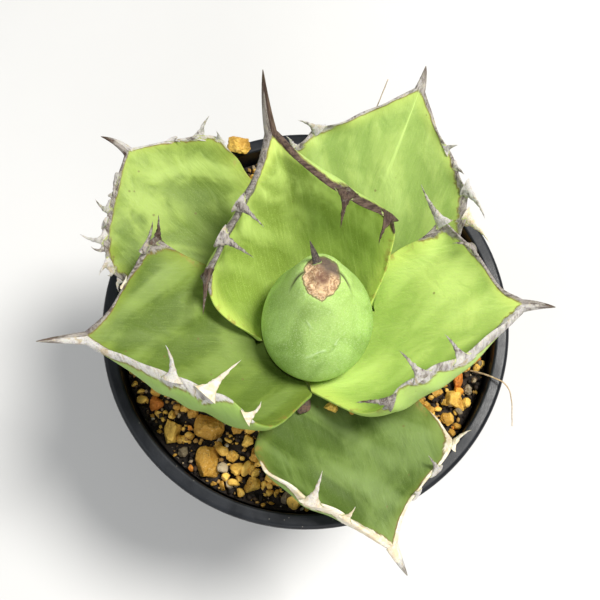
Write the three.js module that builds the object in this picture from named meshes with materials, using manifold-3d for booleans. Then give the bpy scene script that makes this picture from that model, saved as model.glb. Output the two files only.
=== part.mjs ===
// A potted agave: a compact rosette of six broad toothed leaves round a closed central bud, rooted in a
// gritty soil mix in a round plastic nursery pot. Units are millimetres and +Z is up. The origin is on the
// pot's axis, at the plane that the pot stands on. +Y points to the back of the plant.
import * as THREE from "three";
import { mergeVertices } from "three/addons/utils/BufferGeometryUtils.js";
import Module from "manifold-3d";

const wasm = await Module();
wasm.setup();

// ---------------------------------------------------------------- driving dimensions
const CLEARANCE = 0.3; // gap that separates neighbouring pieces

const POT = {
  rimRadius: 60, // outside of the rolled rim
  baseRadius: 43,
  height: 100,
  wall: 1.8,
  floor: 3,
  rimWidth: 4.2, // from the outside of the rim to the inside of the wall
  rimRound: 1.4,
  rimBand: 9, // height of the rim's outer band
  footChamfer: 1.2,
  drainCount: 6,
  drainRadius: 4,
  drainCircle: 27, // radius of the circle that the drain holes sit on
  grooveDepth: 1.4, // grooves under the floor lead water out from each hole
  grooveWidth: 6,
  sides: 48,
};

const SOIL = {
  drop: 7.5, // soil surface below the rim, at the wall
  mound: 2, // how much higher the soil is at the stem
};

const STEM = {
  x: 3.5, // from the pot's axis
  y: -6,
  radius: 9,
  crownDrop: 5.5, // the crown, where the outer leaves start, below the rim
  rise: 1.2, // top above the crown
  depth: 22, // foot below the crown
};

const ROOTS = { count: 7, startRadius: 1.7, endRadius: 0.7, reach: 32, fall: 46 };

const BUD = {
  height: 47, // of the green body
  radius: 15.2, // at its widest
  lean: 0.15, // backward travel per millimetre of height
  footShift: 3, // how far the foot sits to the left of the body
  thornLength: 9,
  thornRadius: 1.5,
};

const BURIED = 0.35; // share of a stone's height that is sunk in the soil
const LARGE_STONE = 5.2; // stones longer than this have a finer surface

// ---------------------------------------------------------------- leaves
// Stations run along the green blade, from its base (0) to where the end spine starts (1). The end spine
// runs from station 1 to station 2.
const WIDTH_STATIONS = [0, 0.2, 0.4, 0.55, 0.7, 0.8, 0.9, 1];
const CURL_STATIONS = [0, 0.3, 0.6, 0.85, 1];
const PITCH_STATIONS = [0, 0.35, 0.7, 1, 1.5, 2];
const LEAF_START = 6; // midrib's start, from the stem's axis
const THICKNESS = [8, 7, 6.2, 5.6, 5, 4.4, 3.6, 2.8]; // at the midrib, at the width stations
const EDGE_THICKNESS = 1.8;
const SPINE_TAPER = 0.8; // below 1 keeps the end spine stout for most of its length
const CURL_BEND = 1.6; // above 1 keeps the middle of a blade flat and turns up its margins
const CLASP_END = 0.3; // station where a clasping base has grown into the open blade
const TOOTH_BASE = 1.6; // radius of the largest tooth at its root

// heading: compass of the midrib, in degrees from +X towards +Y. turn: how far it swings by the leaf's tip.
// hook: how far the end spine swings. base: the midrib's start, above the crown.
// pitch: slope of the midrib at the pitch stations. left, right: arc half widths at the width stations.
// curlLeft, curlRight: upward turn of the margins, in degrees, at the curl stations.
// clasp: how far the right margin reaches back round the stem at the leaf's base.
// teeth: [side (1 left, -1 right), station, length, lean at root, lean at point, lift at root,
// lift at point].
// Lean turns a tooth from straight outwards towards the leaf's tip, and lift turns it off the blade's face.
const LEAVES = [
  {
    name: "leaf_inner_back",
    heading: 106, turn: 1, hook: -16, base: 3.5, length: 62, spine: 18,
    pitch: [25, 50, 62, 55, 60, 62],
    left: [20, 28.5, 31, 26, 15.5, 9.2, 4.5, 1.3],
    right: [20, 26.5, 30.5, 31.5, 22.5, 14.5, 6, 1.3],
    curlLeft: [80, 70, 60, 50, 40],
    curlRight: [80, 70, 80, 105, 50],
    teeth: [
      [1, 0.75, 8.5, -10, -60, 60, 90],
      [1, 0.64, 9.5, -10, -45, 70, 90],
      [1, 0.5, 11, -10, -40, 10, 0],
      [-1, 0.735, 8.5, -40, -70, 30, 40],
      [-1, 0.59, 7.5, -10, -80, 50, 80],
    ],
  },
  {
    name: "leaf_right",
    heading: 5, turn: -8, hook: -14, base: 3.5, length: 56, spine: 8.5, clasp: 12,
    pitch: [20, 35, 38, 30, 20, 15],
    left: [15, 17, 21, 23, 24.5, 17, 6, 1.5],
    right: [16, 29.5, 33, 32.5, 26.5, 18.5, 9, 1.5],
    curlLeft: [40, 40, 40, 40, 30],
    curlRight: [70, 78, 116, 90, 40],
    teeth: [
      [1, 0.8, 5.5, -10, -75, 30, 60],
      [1, 0.68, 12, -15, 10, 0, 15],
      [-1, 0.78, 7, 0, -35, 30, 50],
      [-1, 0.63, 8, -10, -45, 20, 50],
      [-1, 0.44, 8.5, -40, -85, 0, 0],
    ],
  },
  {
    name: "leaf_left",
    heading: 184, turn: 6, hook: 0, base: 3.5, length: 62.5, spine: 12.5,
    pitch: [20, 32, 31, 26, 20, 15],
    left: [21, 30.5, 35.5, 33, 27, 18.5, 8.5, 1.5],
    right: [20, 19, 19.5, 22.5, 25, 17, 7, 1.5],
    curlLeft: [70, 76, 118, 112, 50],
    curlRight: [40, 30, 30, 30, 30],
    teeth: [
      [-1, 0.83, 2.5, 0, 0, 30, 30],
      [-1, 0.74, 8, -15, 10, 10, 25],
      [-1, 0.69, 7.5, 0, 20, 10, 25],
      [1, 0.74, 8, 0, 30, 25, 55],
      [1, 0.62, 11, -35, -50, 25, 25],
      [1, 0.45, 5.5, -45, 10, 15, 45],
    ],
  },
  {
    name: "leaf_back_right",
    heading: 66, turn: 2, hook: 15, base: -0.5, length: 74.5, spine: 7,
    pitch: [10, 20, 25, 30, 30, 30],
    left: [18, 23, 28, 30, 25, 17, 9, 1.5],
    right: [18, 22, 26, 27, 23, 16, 8, 1.5],
    curlLeft: [30, 30, 30, 30, 20],
    curlRight: [30, 30, 30, 30, 20],
    teeth: [
      [1, 0.72, 7.5, 15, -10, 10, 25],
      [1, 0.62, 5, 40, 10, 20, 30],
      [-1, 0.83, 3.5, 40, 20, 10, 10],
      [-1, 0.77, 3.5, -5, -25, 10, 10],
      [-1, 0.7, 10, -15, -50, 0, 0],
      [-1, 0.6, 10, -10, -35, 0, 0],
    ],
  },
  {
    name: "leaf_back_left",
    heading: 136, turn: 2, hook: 38, base: -0.5, length: 73, spine: 9,
    pitch: [10, 18, 20, 20, 20, 20],
    left: [18, 23, 26, 27, 28, 24, 14, 1.5],
    right: [18, 19, 19, 20, 21.5, 21, 12.5, 1.5],
    curlLeft: [20, 20, 20, 20, 20],
    curlRight: [30, 30, 30, 30, 20],
    teeth: [
      [-1, 0.91, 3, -30, -60, 50, 60],
      [-1, 0.85, 7, 30, 0, 10, 20],
      [1, 0.95, 6, -20, -50, 10, 10],
      [1, 0.89, 7, 10, 65, 30, 90],
      [1, 0.82, 8, 15, 65, 20, 45],
      [1, 0.74, 5, 10, -30, 10, 10],
    ],
  },
  {
    name: "leaf_front",
    heading: -74, turn: 7, hook: 6, base: -1.5, length: 57, spine: 8.5,
    pitch: [12, 15, 15, 9, 5, 0],
    left: [18, 20, 23, 26, 24.5, 14, 6, 1.5],
    right: [18, 21, 28, 29.5, 24, 15.5, 7.5, 1.5],
    curlLeft: [20, 20, 20, 30, 30],
    curlRight: [20, 30, 80, 110, 60],
    teeth: [
      [-1, 0.73, 9, -15, -45, 15, 40],
      [-1, 0.83, 4, 0, -30, 20, 30],
      [1, 0.67, 7, -25, 20, 10, 30],
      [1, 0.76, 5.5, -10, -60, 60, 100],
      [1, 0.83, 3, 0, 0, 70, 80],
    ],
  },
];

// ---------------------------------------------------------------- stones and litter
// [angle round the pot, inset from the wall, length, width, height, spin], in degrees and millimetres.
const STONES = [
  { kind: "akadama", color: 0xc8923a, places: [
    [-132, 14, 10.5, 7.5, 7, 20], [-140, 5.5, 5.5, 7.5, 5, 10], [-124, 6, 7.5, 10, 7, -20],
    [-141, 13, 4.5, 4, 4, 0], [-122, 19, 5, 4.2, 4, 40], [-115, 17, 5, 4.5, 4, 10],
    [-108, 6, 5.6, 4.4, 4, 30], [-118, 11, 4.6, 4.2, 4, 75], [-161, 6, 4.2, 4, 3.6, 15],
    [-28, 12, 4.6, 4.2, 4, 60], [-35, 5.5, 5, 4.8, 4.2, 5], [-103, 13, 4.4, 4.2, 3.6, 20],
  ] },
  { kind: "baked_clay", color: 0xc86a26, places: [
    [-151, 5.5, 4.4, 5.6, 4.6, 30], [-21, 8, 3.8, 6.2, 4.4, -15], [-9, 4, 5.4, 3.8, 3.6, 10],
    [-152, 12.5, 3.8, 3.8, 3.4, 45], [150, 5, 4.6, 4, 3.8, 20],
  ] },
  { kind: "pumice", color: 0xb9ab93, places: [
    [-96, 4.5, 5.4, 4.4, 4, 15], [-89, 4.5, 4.2, 3.8, 3.6, 50], [-23, 3.8, 3.8, 3.6, 3.4, 25],
    [-133, 3.6, 3.6, 3.4, 3.2, 35], [20, 5, 5, 4.2, 3.8, 10], [88, 5, 4.6, 4.2, 3.8, 30],
  ] },
];

// Two stones and a wood chip lie on the base of the front leaf. Their angle and distance are from the stem,
// and raise is the height of their underside above the crown.
const PERCHED_STONES = [
  { angle: -79, distance: 20.5, size: [5, 3.8, 3.6], spin: 0, raise: 3.2 },
  { angle: -65, distance: 22.8, size: [4.6, 3.6, 3.4], spin: 20, raise: 3.7 },
];
// One more stone lies on top of the rim.
const RIM_STONE = { angle: 111, size: [8, 6, 5.5], spin: 10 };
const WOOD_CHIP = { angle: -103, distance: 20, length: 5, width: 3, thickness: 1.2, spin: 35, raise: 3.7 };

// Dead grass straws. Their points are [angle round the pot, distance out from the wall,
// height above the rim].
const STRAW_RADIUS = 0.3;
const STRAWS = [
  {
    name: "straw_right",
    points: [[-17, -5, -4.5], [-18, -1, 0.2], [-19.5, 4.5, 2.4], [-22, 8, -1], [-27, 12, -7]],
  },
  { name: "straw_back", points: [[71, -4, -4], [71.3, 1, 3], [71, 6.5, 12], [69.8, 12.4, 25]] },
];

// ---------------------------------------------------------------- small maths
const radians = THREE.MathUtils.degToRad;
const lerp = THREE.MathUtils.lerp;
const UP = new THREE.Vector3(0, 0, 1);

// A cubic curve through the values ys at the stations xs.
function smooth(xs, ys, x) {
  const last = xs.length - 1;
  if (x <= xs[0]) return ys[0];
  if (x >= xs[last]) return ys[last];
  const k = xs.findIndex((station) => station >= x) - 1;
  const slope = (i) => {
    const before = Math.max(i - 1, 0);
    const after = Math.min(i + 1, last);
    return (ys[after] - ys[before]) / (xs[after] - xs[before]);
  };
  const span = xs[k + 1] - xs[k];
  const u = (x - xs[k]) / span;
  const fromFirst = (1 + 2 * u) * (1 - u) ** 2 * ys[k] + u * (1 - u) ** 2 * span * slope(k);
  const fromSecond = u * u * (3 - 2 * u) * ys[k + 1] + u * u * (u - 1) * span * slope(k + 1);
  return fromFirst + fromSecond;
}

const wallInside = () => POT.rimRadius - POT.rimWidth;
const soilEdge = () => POT.height - SOIL.drop;
const crownHeight = () => POT.height - STEM.crownDrop;
const soilRadius = () => wallInside() - CLEARANCE;

// Soil surface: a low mound that falls from the stem to the wall.
function soilHeight(x, y) {
  const share = Math.min(Math.hypot(x - STEM.x, y - STEM.y) / soilRadius(), 1);
  return soilEdge() + SOIL.mound * (1 - share ** 2);
}

// ---------------------------------------------------------------- solids
function solidFrom(geometry) {
  const bare = geometry.clone();
  bare.deleteAttribute("normal");
  bare.deleteAttribute("uv");
  const merged = mergeVertices(bare, 1e-4);
  const mesh = new wasm.Mesh({
    numProp: 3,
    vertProperties: new Float32Array(merged.attributes.position.array),
    triVerts: new Uint32Array(merged.index.array),
  });
  return new wasm.Manifold(mesh);
}

function geometryFrom(solid) {
  const mesh = solid.getMesh();
  const geometry = new THREE.BufferGeometry();
  geometry.setAttribute("position", new THREE.BufferAttribute(new Float32Array(mesh.vertProperties), 3));
  geometry.setIndex(Array.from(mesh.triVerts));
  geometry.computeVertexNormals();
  return geometry;
}

function largestPiece(solid) {
  const pieces = solid.decompose();
  return pieces.reduce((best, piece) => (piece.volume() > best.volume() ? piece : best));
}

// A closed skin over rings of points, with a fan of triangles on the first and last ring.
function skin(rings) {
  const across = rings[0].length;
  const points = rings.flat();
  const faces = [];
  for (let i = 0; i < rings.length - 1; i++) {
    for (let j = 0; j < across; j++) {
      const a = i * across + j;
      const b = i * across + ((j + 1) % across);
      faces.push(a, b, b + across, a, b + across, a + across);
    }
  }
  for (const [ring, first, order] of [[rings[0], 0, -1], [rings.at(-1), points.length - across, 1]]) {
    const centre = ring.reduce((sum, p) => sum.add(p), new THREE.Vector3()).divideScalar(across);
    points.push(centre);
    for (let j = 0; j < across; j++) {
      const a = first + j;
      const b = first + ((j + 1) % across);
      faces.push(...(order > 0 ? [points.length - 1, a, b] : [points.length - 1, b, a]));
    }
  }
  const geometry = new THREE.BufferGeometry().setFromPoints(points);
  geometry.setIndex(faces);
  geometry.computeVertexNormals();
  return geometry;
}

// A round cone or horn along a list of points, with a radius for each point.
function horn(path, radii, sides) {
  const rings = path.map((point, i) => {
    const before = path[Math.max(i - 1, 0)];
    const after = path[Math.min(i + 1, path.length - 1)];
    const along = after.clone().sub(before).normalize();
    const across = Math.abs(along.z) > 0.9 ? new THREE.Vector3(1, 0, 0) : UP;
    const side = new THREE.Vector3().crossVectors(along, across);
    side.normalize();
    const other = new THREE.Vector3().crossVectors(along, side);
    return Array.from({ length: sides }, (_, j) => {
      const angle = (2 * Math.PI * j) / sides;
      const offset = side.clone().multiplyScalar(Math.cos(angle)).addScaledVector(other, Math.sin(angle));
      return point.clone().addScaledVector(offset, radii[i]);
    });
  });
  return skin(rings);
}

// ---------------------------------------------------------------- leaf shape
const RIB_STEPS = 80; // for each of the blade and the end spine

// Midrib of a leaf: a place and three directions at each of its steps.
function midrib(leaf) {
  const start = radians(leaf.heading);
  const point = new THREE.Vector3(
    STEM.x + LEAF_START * Math.cos(start),
    STEM.y + LEAF_START * Math.sin(start),
    crownHeight() + leaf.base,
  );
  const frames = [];
  for (let i = 0; i <= 2 * RIB_STEPS; i++) {
    const t = i / RIB_STEPS;
    const pitch = radians(smooth(PITCH_STATIONS, leaf.pitch, t));
    const turn = leaf.turn * Math.min(t, 1) ** 1.5;
    const heading = radians(leaf.heading + turn + leaf.hook * Math.max(0, t - 1));
    const flat = new THREE.Vector3(Math.cos(heading), Math.sin(heading), 0);
    const along = flat.multiplyScalar(Math.cos(pitch)).addScaledVector(UP, Math.sin(pitch));
    const left = new THREE.Vector3(-Math.sin(heading), Math.cos(heading), 0);
    const face = new THREE.Vector3().crossVectors(along, left);
    frames.push({ point: point.clone(), along, left, face });
    point.addScaledVector(along, (t < 1 ? leaf.length : leaf.spine) / RIB_STEPS);
  }
  return frames;
}

function frameAt(frames, t) {
  const step = Math.min(t * RIB_STEPS, frames.length - 1.001);
  const i = Math.floor(step);
  const mix = (key) => frames[i][key].clone().lerp(frames[i + 1][key], step - i);
  return { point: mix("point"), along: mix("along"), left: mix("left"), face: mix("face") };
}

// A place on the leaf's upper face: s runs from -1 at the right margin to 1 at the left margin.
function facePoint(leaf, frames, t, s) {
  const { point, along, left, face } = frameAt(frames, t);
  const side = s >= 0 ? 1 : -1;
  const blade = Math.min(t, 1);
  const curl = radians(smooth(CURL_STATIONS, side > 0 ? leaf.curlLeft : leaf.curlRight, blade));
  const spineTaper = t > 1 ? Math.max(2 - t, 0) ** SPINE_TAPER : 1;
  const halfWidth = smooth(WIDTH_STATIONS, side > 0 ? leaf.left : leaf.right, blade) * spineTaper;
  const steps = 10;
  let out = 0;
  let rise = 0;
  for (let i = 0; i < steps; i++) {
    const angle = curl * (((i + 0.5) / steps) * Math.abs(s)) ** CURL_BEND;
    out += (halfWidth * Math.abs(s) * Math.cos(angle)) / steps;
    rise += (halfWidth * Math.abs(s) * Math.sin(angle)) / steps;
  }
  const angle = curl * Math.abs(s) ** CURL_BEND;
  const claspShare = side < 0 ? Math.abs(s) ** 1.3 * Math.max(0, 1 - t / CLASP_END) ** 1.5 : 0;
  const clasp = (leaf.clasp ?? 0) * claspShare;
  point.addScaledVector(along, -clasp);
  return {
    place: point.addScaledVector(left, side * out).addScaledVector(face, rise),
    normal: face.clone().multiplyScalar(Math.cos(angle)).addScaledVector(left, -side * Math.sin(angle)),
    outward: left.clone().multiplyScalar(side * Math.cos(angle)).addScaledVector(face, Math.sin(angle)),
    along,
  };
}

const RING_SIDES = 14;
const BLADE_RINGS = [0, 0.12, 0.24, 0.36, 0.48, 0.6, 0.7, 0.79, 0.87, 0.94, 1];
const SPINE_RINGS = [1.15, 1.45, 1.75, 1.95];

// The blade and its end spine as one solid. grow swells it on all sides, most of all at its slanted base.
function bladeSolid(leaf, frames, grow) {
  const rings = [...BLADE_RINGS, ...SPINE_RINGS].map((t) => {
    const taper = t > 1 ? (2 - t) ** SPINE_TAPER : 1;
    const middle = smooth(WIDTH_STATIONS, THICKNESS, Math.min(t, 1)) * taper;
    const edge = Math.min(EDGE_THICKNESS, smooth(WIDTH_STATIONS, THICKNESS, 1)) * taper * 0.5;
    const swell = t === 0 ? 2 * grow : grow;
    return Array.from({ length: RING_SIDES }, (_, j) => {
      const angle = (2 * Math.PI * j) / RING_SIDES;
      const s = Math.cos(angle);
      const { place, normal, outward, along } = facePoint(leaf, frames, t, s);
      const round = Math.sqrt(Math.abs(Math.sin(angle)));
      const upper = edge * round + swell * round;
      const lower = upper + (middle - 2 * edge) * (1 - s * s) ** 0.8;
      const height = Math.sin(angle) >= 0 ? upper : -lower;
      place.addScaledVector(normal, height).addScaledVector(outward, 2 * swell * Math.abs(s));
      return place.addScaledVector(along, t === 0 ? -2 * swell : 0);
    });
  });
  return solidFrom(skin(rings));
}

// One tooth on a leaf's margin: a curved horn with a flared root.
function toothSolid(leaf, frames, [side, t, length, leanRoot, leanPoint, liftRoot, liftPoint]) {
  const { place, normal, outward, along } = facePoint(leaf, frames, t, side);
  const radius = TOOTH_BASE * Math.min(1, 0.45 + length / 18);
  const shape = [1.25, 0.75, 0.42, 0.1];
  const point = place.addScaledVector(outward, -radius);
  const path = [];
  const pieces = shape.length - 1;
  for (let i = 0; i <= pieces; i++) {
    path.push(point.clone());
    const lean = radians(lerp(leanRoot, leanPoint, i / (pieces - 1)));
    const lift = radians(lerp(liftRoot, liftPoint, i / (pieces - 1)));
    const across = outward.clone().multiplyScalar(Math.cos(lift)).addScaledVector(normal, Math.sin(lift));
    const direction = across.multiplyScalar(Math.cos(lean)).addScaledVector(along, Math.sin(lean));
    point.addScaledVector(direction, (length + radius) / pieces);
  }
  return solidFrom(horn(path, shape.map((share) => share * radius), 5));
}

// ---------------------------------------------------------------- pot
function potSolid() {
  const { rimRadius, baseRadius, height, wall, floor, rimWidth, rimRound, rimBand, footChamfer } = POT;
  const bandRadius = rimRadius - 0.6;
  const wallTop = wallInside() + wall;
  const inside = baseRadius - wall;
  const profile = [[0, 0], [baseRadius - footChamfer, 0], [baseRadius, footChamfer]];
  profile.push([wallTop, height - rimBand - 1.5]);
  profile.push([bandRadius, height - rimBand], [rimRadius, height - rimRound]);
  for (const turn of [30, 60, 90]) {
    const angle = radians(turn);
    profile.push([rimRadius - rimRound * (1 - Math.cos(angle)), height - rimRound * (1 - Math.sin(angle))]);
  }
  const innerRound = 0.8;
  profile.push([rimRadius - rimWidth + innerRound, height], [rimRadius - rimWidth, height - innerRound]);
  profile.push([wallInside(), height - rimBand], [inside, floor + 1.5], [inside - 1.5, floor], [0, floor]);
  const lathe = new THREE.LatheGeometry(profile.map(([r, z]) => new THREE.Vector2(r, z)), POT.sides);
  lathe.rotateX(Math.PI / 2);
  let pot = solidFrom(lathe);
  for (let i = 0; i < POT.drainCount; i++) {
    const angle = (2 * Math.PI * i) / POT.drainCount;
    const drill = new THREE.CylinderGeometry(POT.drainRadius, POT.drainRadius, 4 * floor, 12);
    drill.rotateX(Math.PI / 2);
    drill.translate(POT.drainCircle, 0, 0);
    drill.rotateZ(angle);
    const grooveLength = baseRadius;
    const groove = new THREE.BoxGeometry(grooveLength, POT.grooveWidth, 2 * POT.grooveDepth);
    groove.translate(POT.drainCircle + grooveLength / 2, 0, 0);
    groove.rotateZ(angle);
    pot = pot.subtract(solidFrom(drill)).subtract(solidFrom(groove));
  }
  return pot;
}

// ---------------------------------------------------------------- soil
function soilSolid() {
  const bottom = POT.floor + CLEARANCE;
  const footRadius = POT.baseRadius - POT.wall - 1.5 - CLEARANCE;
  const sides = 32;
  const ringAt = (radius, height) =>
    Array.from({ length: sides }, (_, j) => {
      const angle = (2 * Math.PI * j) / sides;
      const x = radius * Math.cos(angle);
      const y = radius * Math.sin(angle);
      return new THREE.Vector3(x, y, height ?? soilHeight(x, y));
    });
  // The wall leans: the soil's flank stays one clearance inside it, less the sag of the pot's flat facets.
  const facetSag = POT.rimRadius * (1 - Math.cos(Math.PI / POT.sides));
  const edge = soilRadius() - facetSag;
  const flankRadius = edge - (wallInside() - (POT.baseRadius - POT.wall)) * (SOIL.drop / POT.height);
  const rings = [
    ringAt(footRadius - facetSag, bottom),
    ringAt(footRadius + 1.2 - facetSag, bottom + 1.5),
    ringAt(flankRadius),
    ringAt(flankRadius * 0.75),
    ringAt(flankRadius * 0.5),
    ringAt(flankRadius * 0.25),
    ringAt(flankRadius * 0.06),
  ];
  return solidFrom(skin(rings));
}

// ---------------------------------------------------------------- stem and roots
function stemSolid(grow) {
  const top = crownHeight() + STEM.rise;
  const foot = crownHeight() - STEM.depth;
  const profile = [[0, foot - grow], [STEM.radius * 0.5 + grow, foot - grow], [STEM.radius + grow, foot + 5]];
  profile.push([STEM.radius + grow, top - 2], [STEM.radius - 2 + grow, top + grow], [0, top + grow]);
  const lathe = new THREE.LatheGeometry(profile.map(([r, z]) => new THREE.Vector2(r, z)), 20);
  lathe.rotateX(Math.PI / 2);
  lathe.translate(STEM.x, STEM.y, 0);
  let stem = solidFrom(lathe);
  for (let i = 0; i < ROOTS.count; i++) {
    stem = stem.add(rootSolid(i, foot, grow));
  }
  return stem;
}

// A thick root: it leaves the stem's foot sideways and bends down.
function rootSolid(index, foot, grow) {
  const angle = (2 * Math.PI * index) / ROOTS.count + 0.3 * Math.sin(5 * index);
  const pieces = 5;
  const path = [];
  const radii = [];
  for (let i = 0; i <= pieces; i++) {
    const u = i / pieces;
    const wander = angle + 0.35 * Math.sin(3 * u + index);
    const out = ROOTS.reach * Math.sin((u * Math.PI) / 2) * (index % 2 ? 0.8 : 1);
    const down = ROOTS.fall * u ** 1.7 * (index % 2 ? 1 : 0.8);
    const x = STEM.x + out * Math.cos(wander);
    const y = STEM.y + out * Math.sin(wander);
    path.push(new THREE.Vector3(x, y, foot + 7 - down));
    radii.push(lerp(ROOTS.startRadius, ROOTS.endRadius, u) + grow);
  }
  return solidFrom(horn(path, radii, 5));
}

// ---------------------------------------------------------------- bud
// Share of the bud's full radius at shares of its height.
const BUD_STATIONS = [0, 0.12, 0.28, 0.45, 0.6, 0.75, 0.87, 0.95, 1];
const BUD_RADII = [0.68, 0.92, 1.03, 0.96, 0.78, 0.6, 0.47, 0.33, 0.2];

function budCentre(share) {
  const foot = crownHeight() + STEM.rise + CLEARANCE;
  const height = BUD.height * share;
  const shift = BUD.footShift * (1 - share) ** 6;
  return new THREE.Vector3(STEM.x - shift, STEM.y + BUD.lean * height, foot + height);
}

function budSolid(grow) {
  const sides = 24;
  const rings = BUD_STATIONS.map((share, i) => {
    const centre = budCentre(share);
    centre.z += grow * (2 * share - 1);
    return Array.from({ length: sides }, (_, j) => {
      const angle = (2 * Math.PI * j) / sides;
      const radius = BUD.radius * BUD_RADII[i] + grow;
      return centre.clone().add(new THREE.Vector3(radius * Math.cos(angle), radius * Math.sin(angle), 0));
    });
  });
  return solidFrom(skin(rings));
}

// The dark thorn that stands out of the bud's top and leans back.
function budThorn() {
  const path = [0, 0.35, 0.7, 1].map((share) => {
    const reach = BUD.thornLength * share;
    return budCentre(0.94).add(new THREE.Vector3(-0.25 * reach, 0.75 * reach, 0.6 * reach));
  });
  return solidFrom(horn(path, [1, 0.75, 0.4, 0.1].map((share) => share * BUD.thornRadius), 7));
}

// ---------------------------------------------------------------- stones, chip and straws
const polar = (angle, radius) => [radius * Math.cos(radians(angle)), radius * Math.sin(radians(angle))];

// A broken stone about its own centre: a faceted ball with flats and bulges that follow from its phase.
function stoneShape([length, width, height], phase, grow) {
  const geometry = new THREE.IcosahedronGeometry(1, Math.max(length, width) > LARGE_STONE ? 1 : 0);
  const position = geometry.attributes.position;
  const point = new THREE.Vector3();
  for (let i = 0; i < position.count; i++) {
    point.fromBufferAttribute(position, i).normalize();
    const flatLumps = Math.sin(2.6 * point.x + phase) * Math.cos(2.9 * point.y - phase);
    const lumps = flatLumps * Math.sin(2.3 * point.z + 2 * phase);
    point.multiplyScalar(1 + 0.16 * lumps);
    point.multiply(new THREE.Vector3(length / 2 + grow, width / 2 + grow, height / 2 + grow));
    position.setXYZ(i, point.x, point.y, point.z);
  }
  return geometry;
}

// A stone that is bedded in the soil.
function stoneGeometry([angle, inset, length, width, height, spin], grow) {
  const [x, y] = polar(angle, wallInside() - inset);
  const geometry = stoneShape([length, width, height], angle + spin, grow);
  geometry.rotateZ(radians(spin));
  geometry.translate(x, y, soilHeight(x, y) + height * (0.5 - BURIED));
  return geometry;
}

// A stone that lies on a leaf.
function perchedStoneGeometry({ angle, distance, size, spin, raise }) {
  const [x, y] = polar(angle, distance);
  const geometry = stoneShape(size, angle + spin, 0);
  geometry.rotateZ(radians(spin));
  geometry.translate(STEM.x + x, STEM.y + y, crownHeight() + raise + size[2] / 2);
  return geometry;
}

function rimStoneGeometry({ angle, size, spin }) {
  const [x, y] = polar(angle, POT.rimRadius - POT.rimWidth / 2);
  const geometry = stoneShape(size, angle + spin, 0);
  geometry.rotateZ(radians(spin));
  geometry.translate(x, y, POT.height + CLEARANCE + size[2] / 2);
  return geometry;
}

function chipGeometry() {
  const { angle, distance, length, width, thickness, spin, raise } = WOOD_CHIP;
  const outline = new THREE.Shape([
    new THREE.Vector2(-length / 2, -width / 2),
    new THREE.Vector2(length / 2, -width / 4),
    new THREE.Vector2(length / 2, width / 2),
    new THREE.Vector2(-length / 4, width / 2),
  ]);
  const geometry = new THREE.ExtrudeGeometry(outline, { depth: thickness, bevelEnabled: false });
  const [x, y] = polar(angle, distance);
  geometry.rotateZ(radians(spin));
  geometry.translate(STEM.x + x, STEM.y + y, crownHeight() + raise);
  return geometry;
}

function strawGeometry({ points }) {
  const path = new THREE.CatmullRomCurve3(points.map(([angle, out, rise]) => {
    const [x, y] = polar(angle, wallInside() + out);
    return new THREE.Vector3(x, y, POT.height + rise);
  }));
  const section = new THREE.Shape();
  section.absarc(0, 0, STRAW_RADIUS, 0, 2 * Math.PI);
  const options = { steps: 10, extrudePath: path, curveSegments: 3, bevelEnabled: false };
  return new THREE.ExtrudeGeometry(section, options);
}

// ---------------------------------------------------------------- materials
const finish = (name, color, roughness) =>
  new THREE.MeshStandardMaterial({ name, color, roughness, metalness: 0 });
const MATERIALS = {
  pot: finish("black_plastic", 0x16181b, 0.45),
  soil: finish("dark_soil", 0x3a2c20, 0.95),
  stem: finish("pale_root", 0xb8a88a, 0.85),
  bud: finish("bud_green", 0x86a862, 0.55),
  leaf: finish("leaf_green", 0x98bc58, 0.5),
  chip: finish("dead_wood", 0x4a3020, 0.9),
  straw: finish("dry_straw", 0xc2a071, 0.8),
};

// ---------------------------------------------------------------- assembly
const plant = new THREE.Group();

function addPiece(name, geometry, material) {
  const mesh = new THREE.Mesh(geometry, material);
  mesh.name = name;
  plant.add(mesh);
}

const bud = budSolid(0);
const budGap = budSolid(CLEARANCE);
const stemGap = stemSolid(CLEARANCE);

// Leaves grow from the inside out, so each one is cut back from the stem, the bud and all leaves before it.
let inner = budGap.add(stemGap);
for (const leaf of LEAVES) {
  const frames = midrib(leaf);
  const blade = largestPiece(bladeSolid(leaf, frames, 0).subtract(inner));
  let grown = blade;
  for (const tooth of leaf.teeth) {
    grown = grown.add(toothSolid(leaf, frames, tooth));
  }
  addPiece(leaf.name, geometryFrom(largestPiece(grown.subtract(inner))), MATERIALS.leaf);
  inner = inner.add(bladeSolid(leaf, frames, CLEARANCE));
}

addPiece("bud", geometryFrom(bud.add(budThorn())), MATERIALS.bud);
addPiece("stem_and_roots", geometryFrom(stemSolid(0)), MATERIALS.stem);
addPiece("pot", geometryFrom(potSolid()), MATERIALS.pot);

let soil = soilSolid().subtract(inner);
for (const { kind, color, places } of STONES) {
  places.forEach((place, i) => {
    const number = String(i + 1).padStart(2, "0");
    addPiece(`stone_${kind}_${number}`, stoneGeometry(place, 0), finish(kind, color, 0.9));
    soil = soil.subtract(solidFrom(stoneGeometry(place, CLEARANCE)));
  });
}
addPiece("soil", geometryFrom(largestPiece(soil)), MATERIALS.soil);

PERCHED_STONES.forEach((place, i) => {
  addPiece(`stone_on_leaf_${i + 1}`, perchedStoneGeometry(place), finish("akadama", 0xc8923a, 0.9));
});
addPiece("stone_on_rim", rimStoneGeometry(RIM_STONE), finish("akadama", 0xc8923a, 0.9));
addPiece("wood_chip", chipGeometry(), MATERIALS.chip);
for (const straw of STRAWS) {
  addPiece(straw.name, strawGeometry(straw), MATERIALS.straw);
}

export default plant;
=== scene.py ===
"""Looks of the potted agave: six toothed leaves round a closed bud, gritty soil and a black nursery pot.

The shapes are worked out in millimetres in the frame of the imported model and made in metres. +Z is up and
+Y points to the back of the plant.
"""

import math

import bmesh
import bpy
import numpy as np
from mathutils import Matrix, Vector, noise
from mathutils.bvhtree import BVHTree


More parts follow.
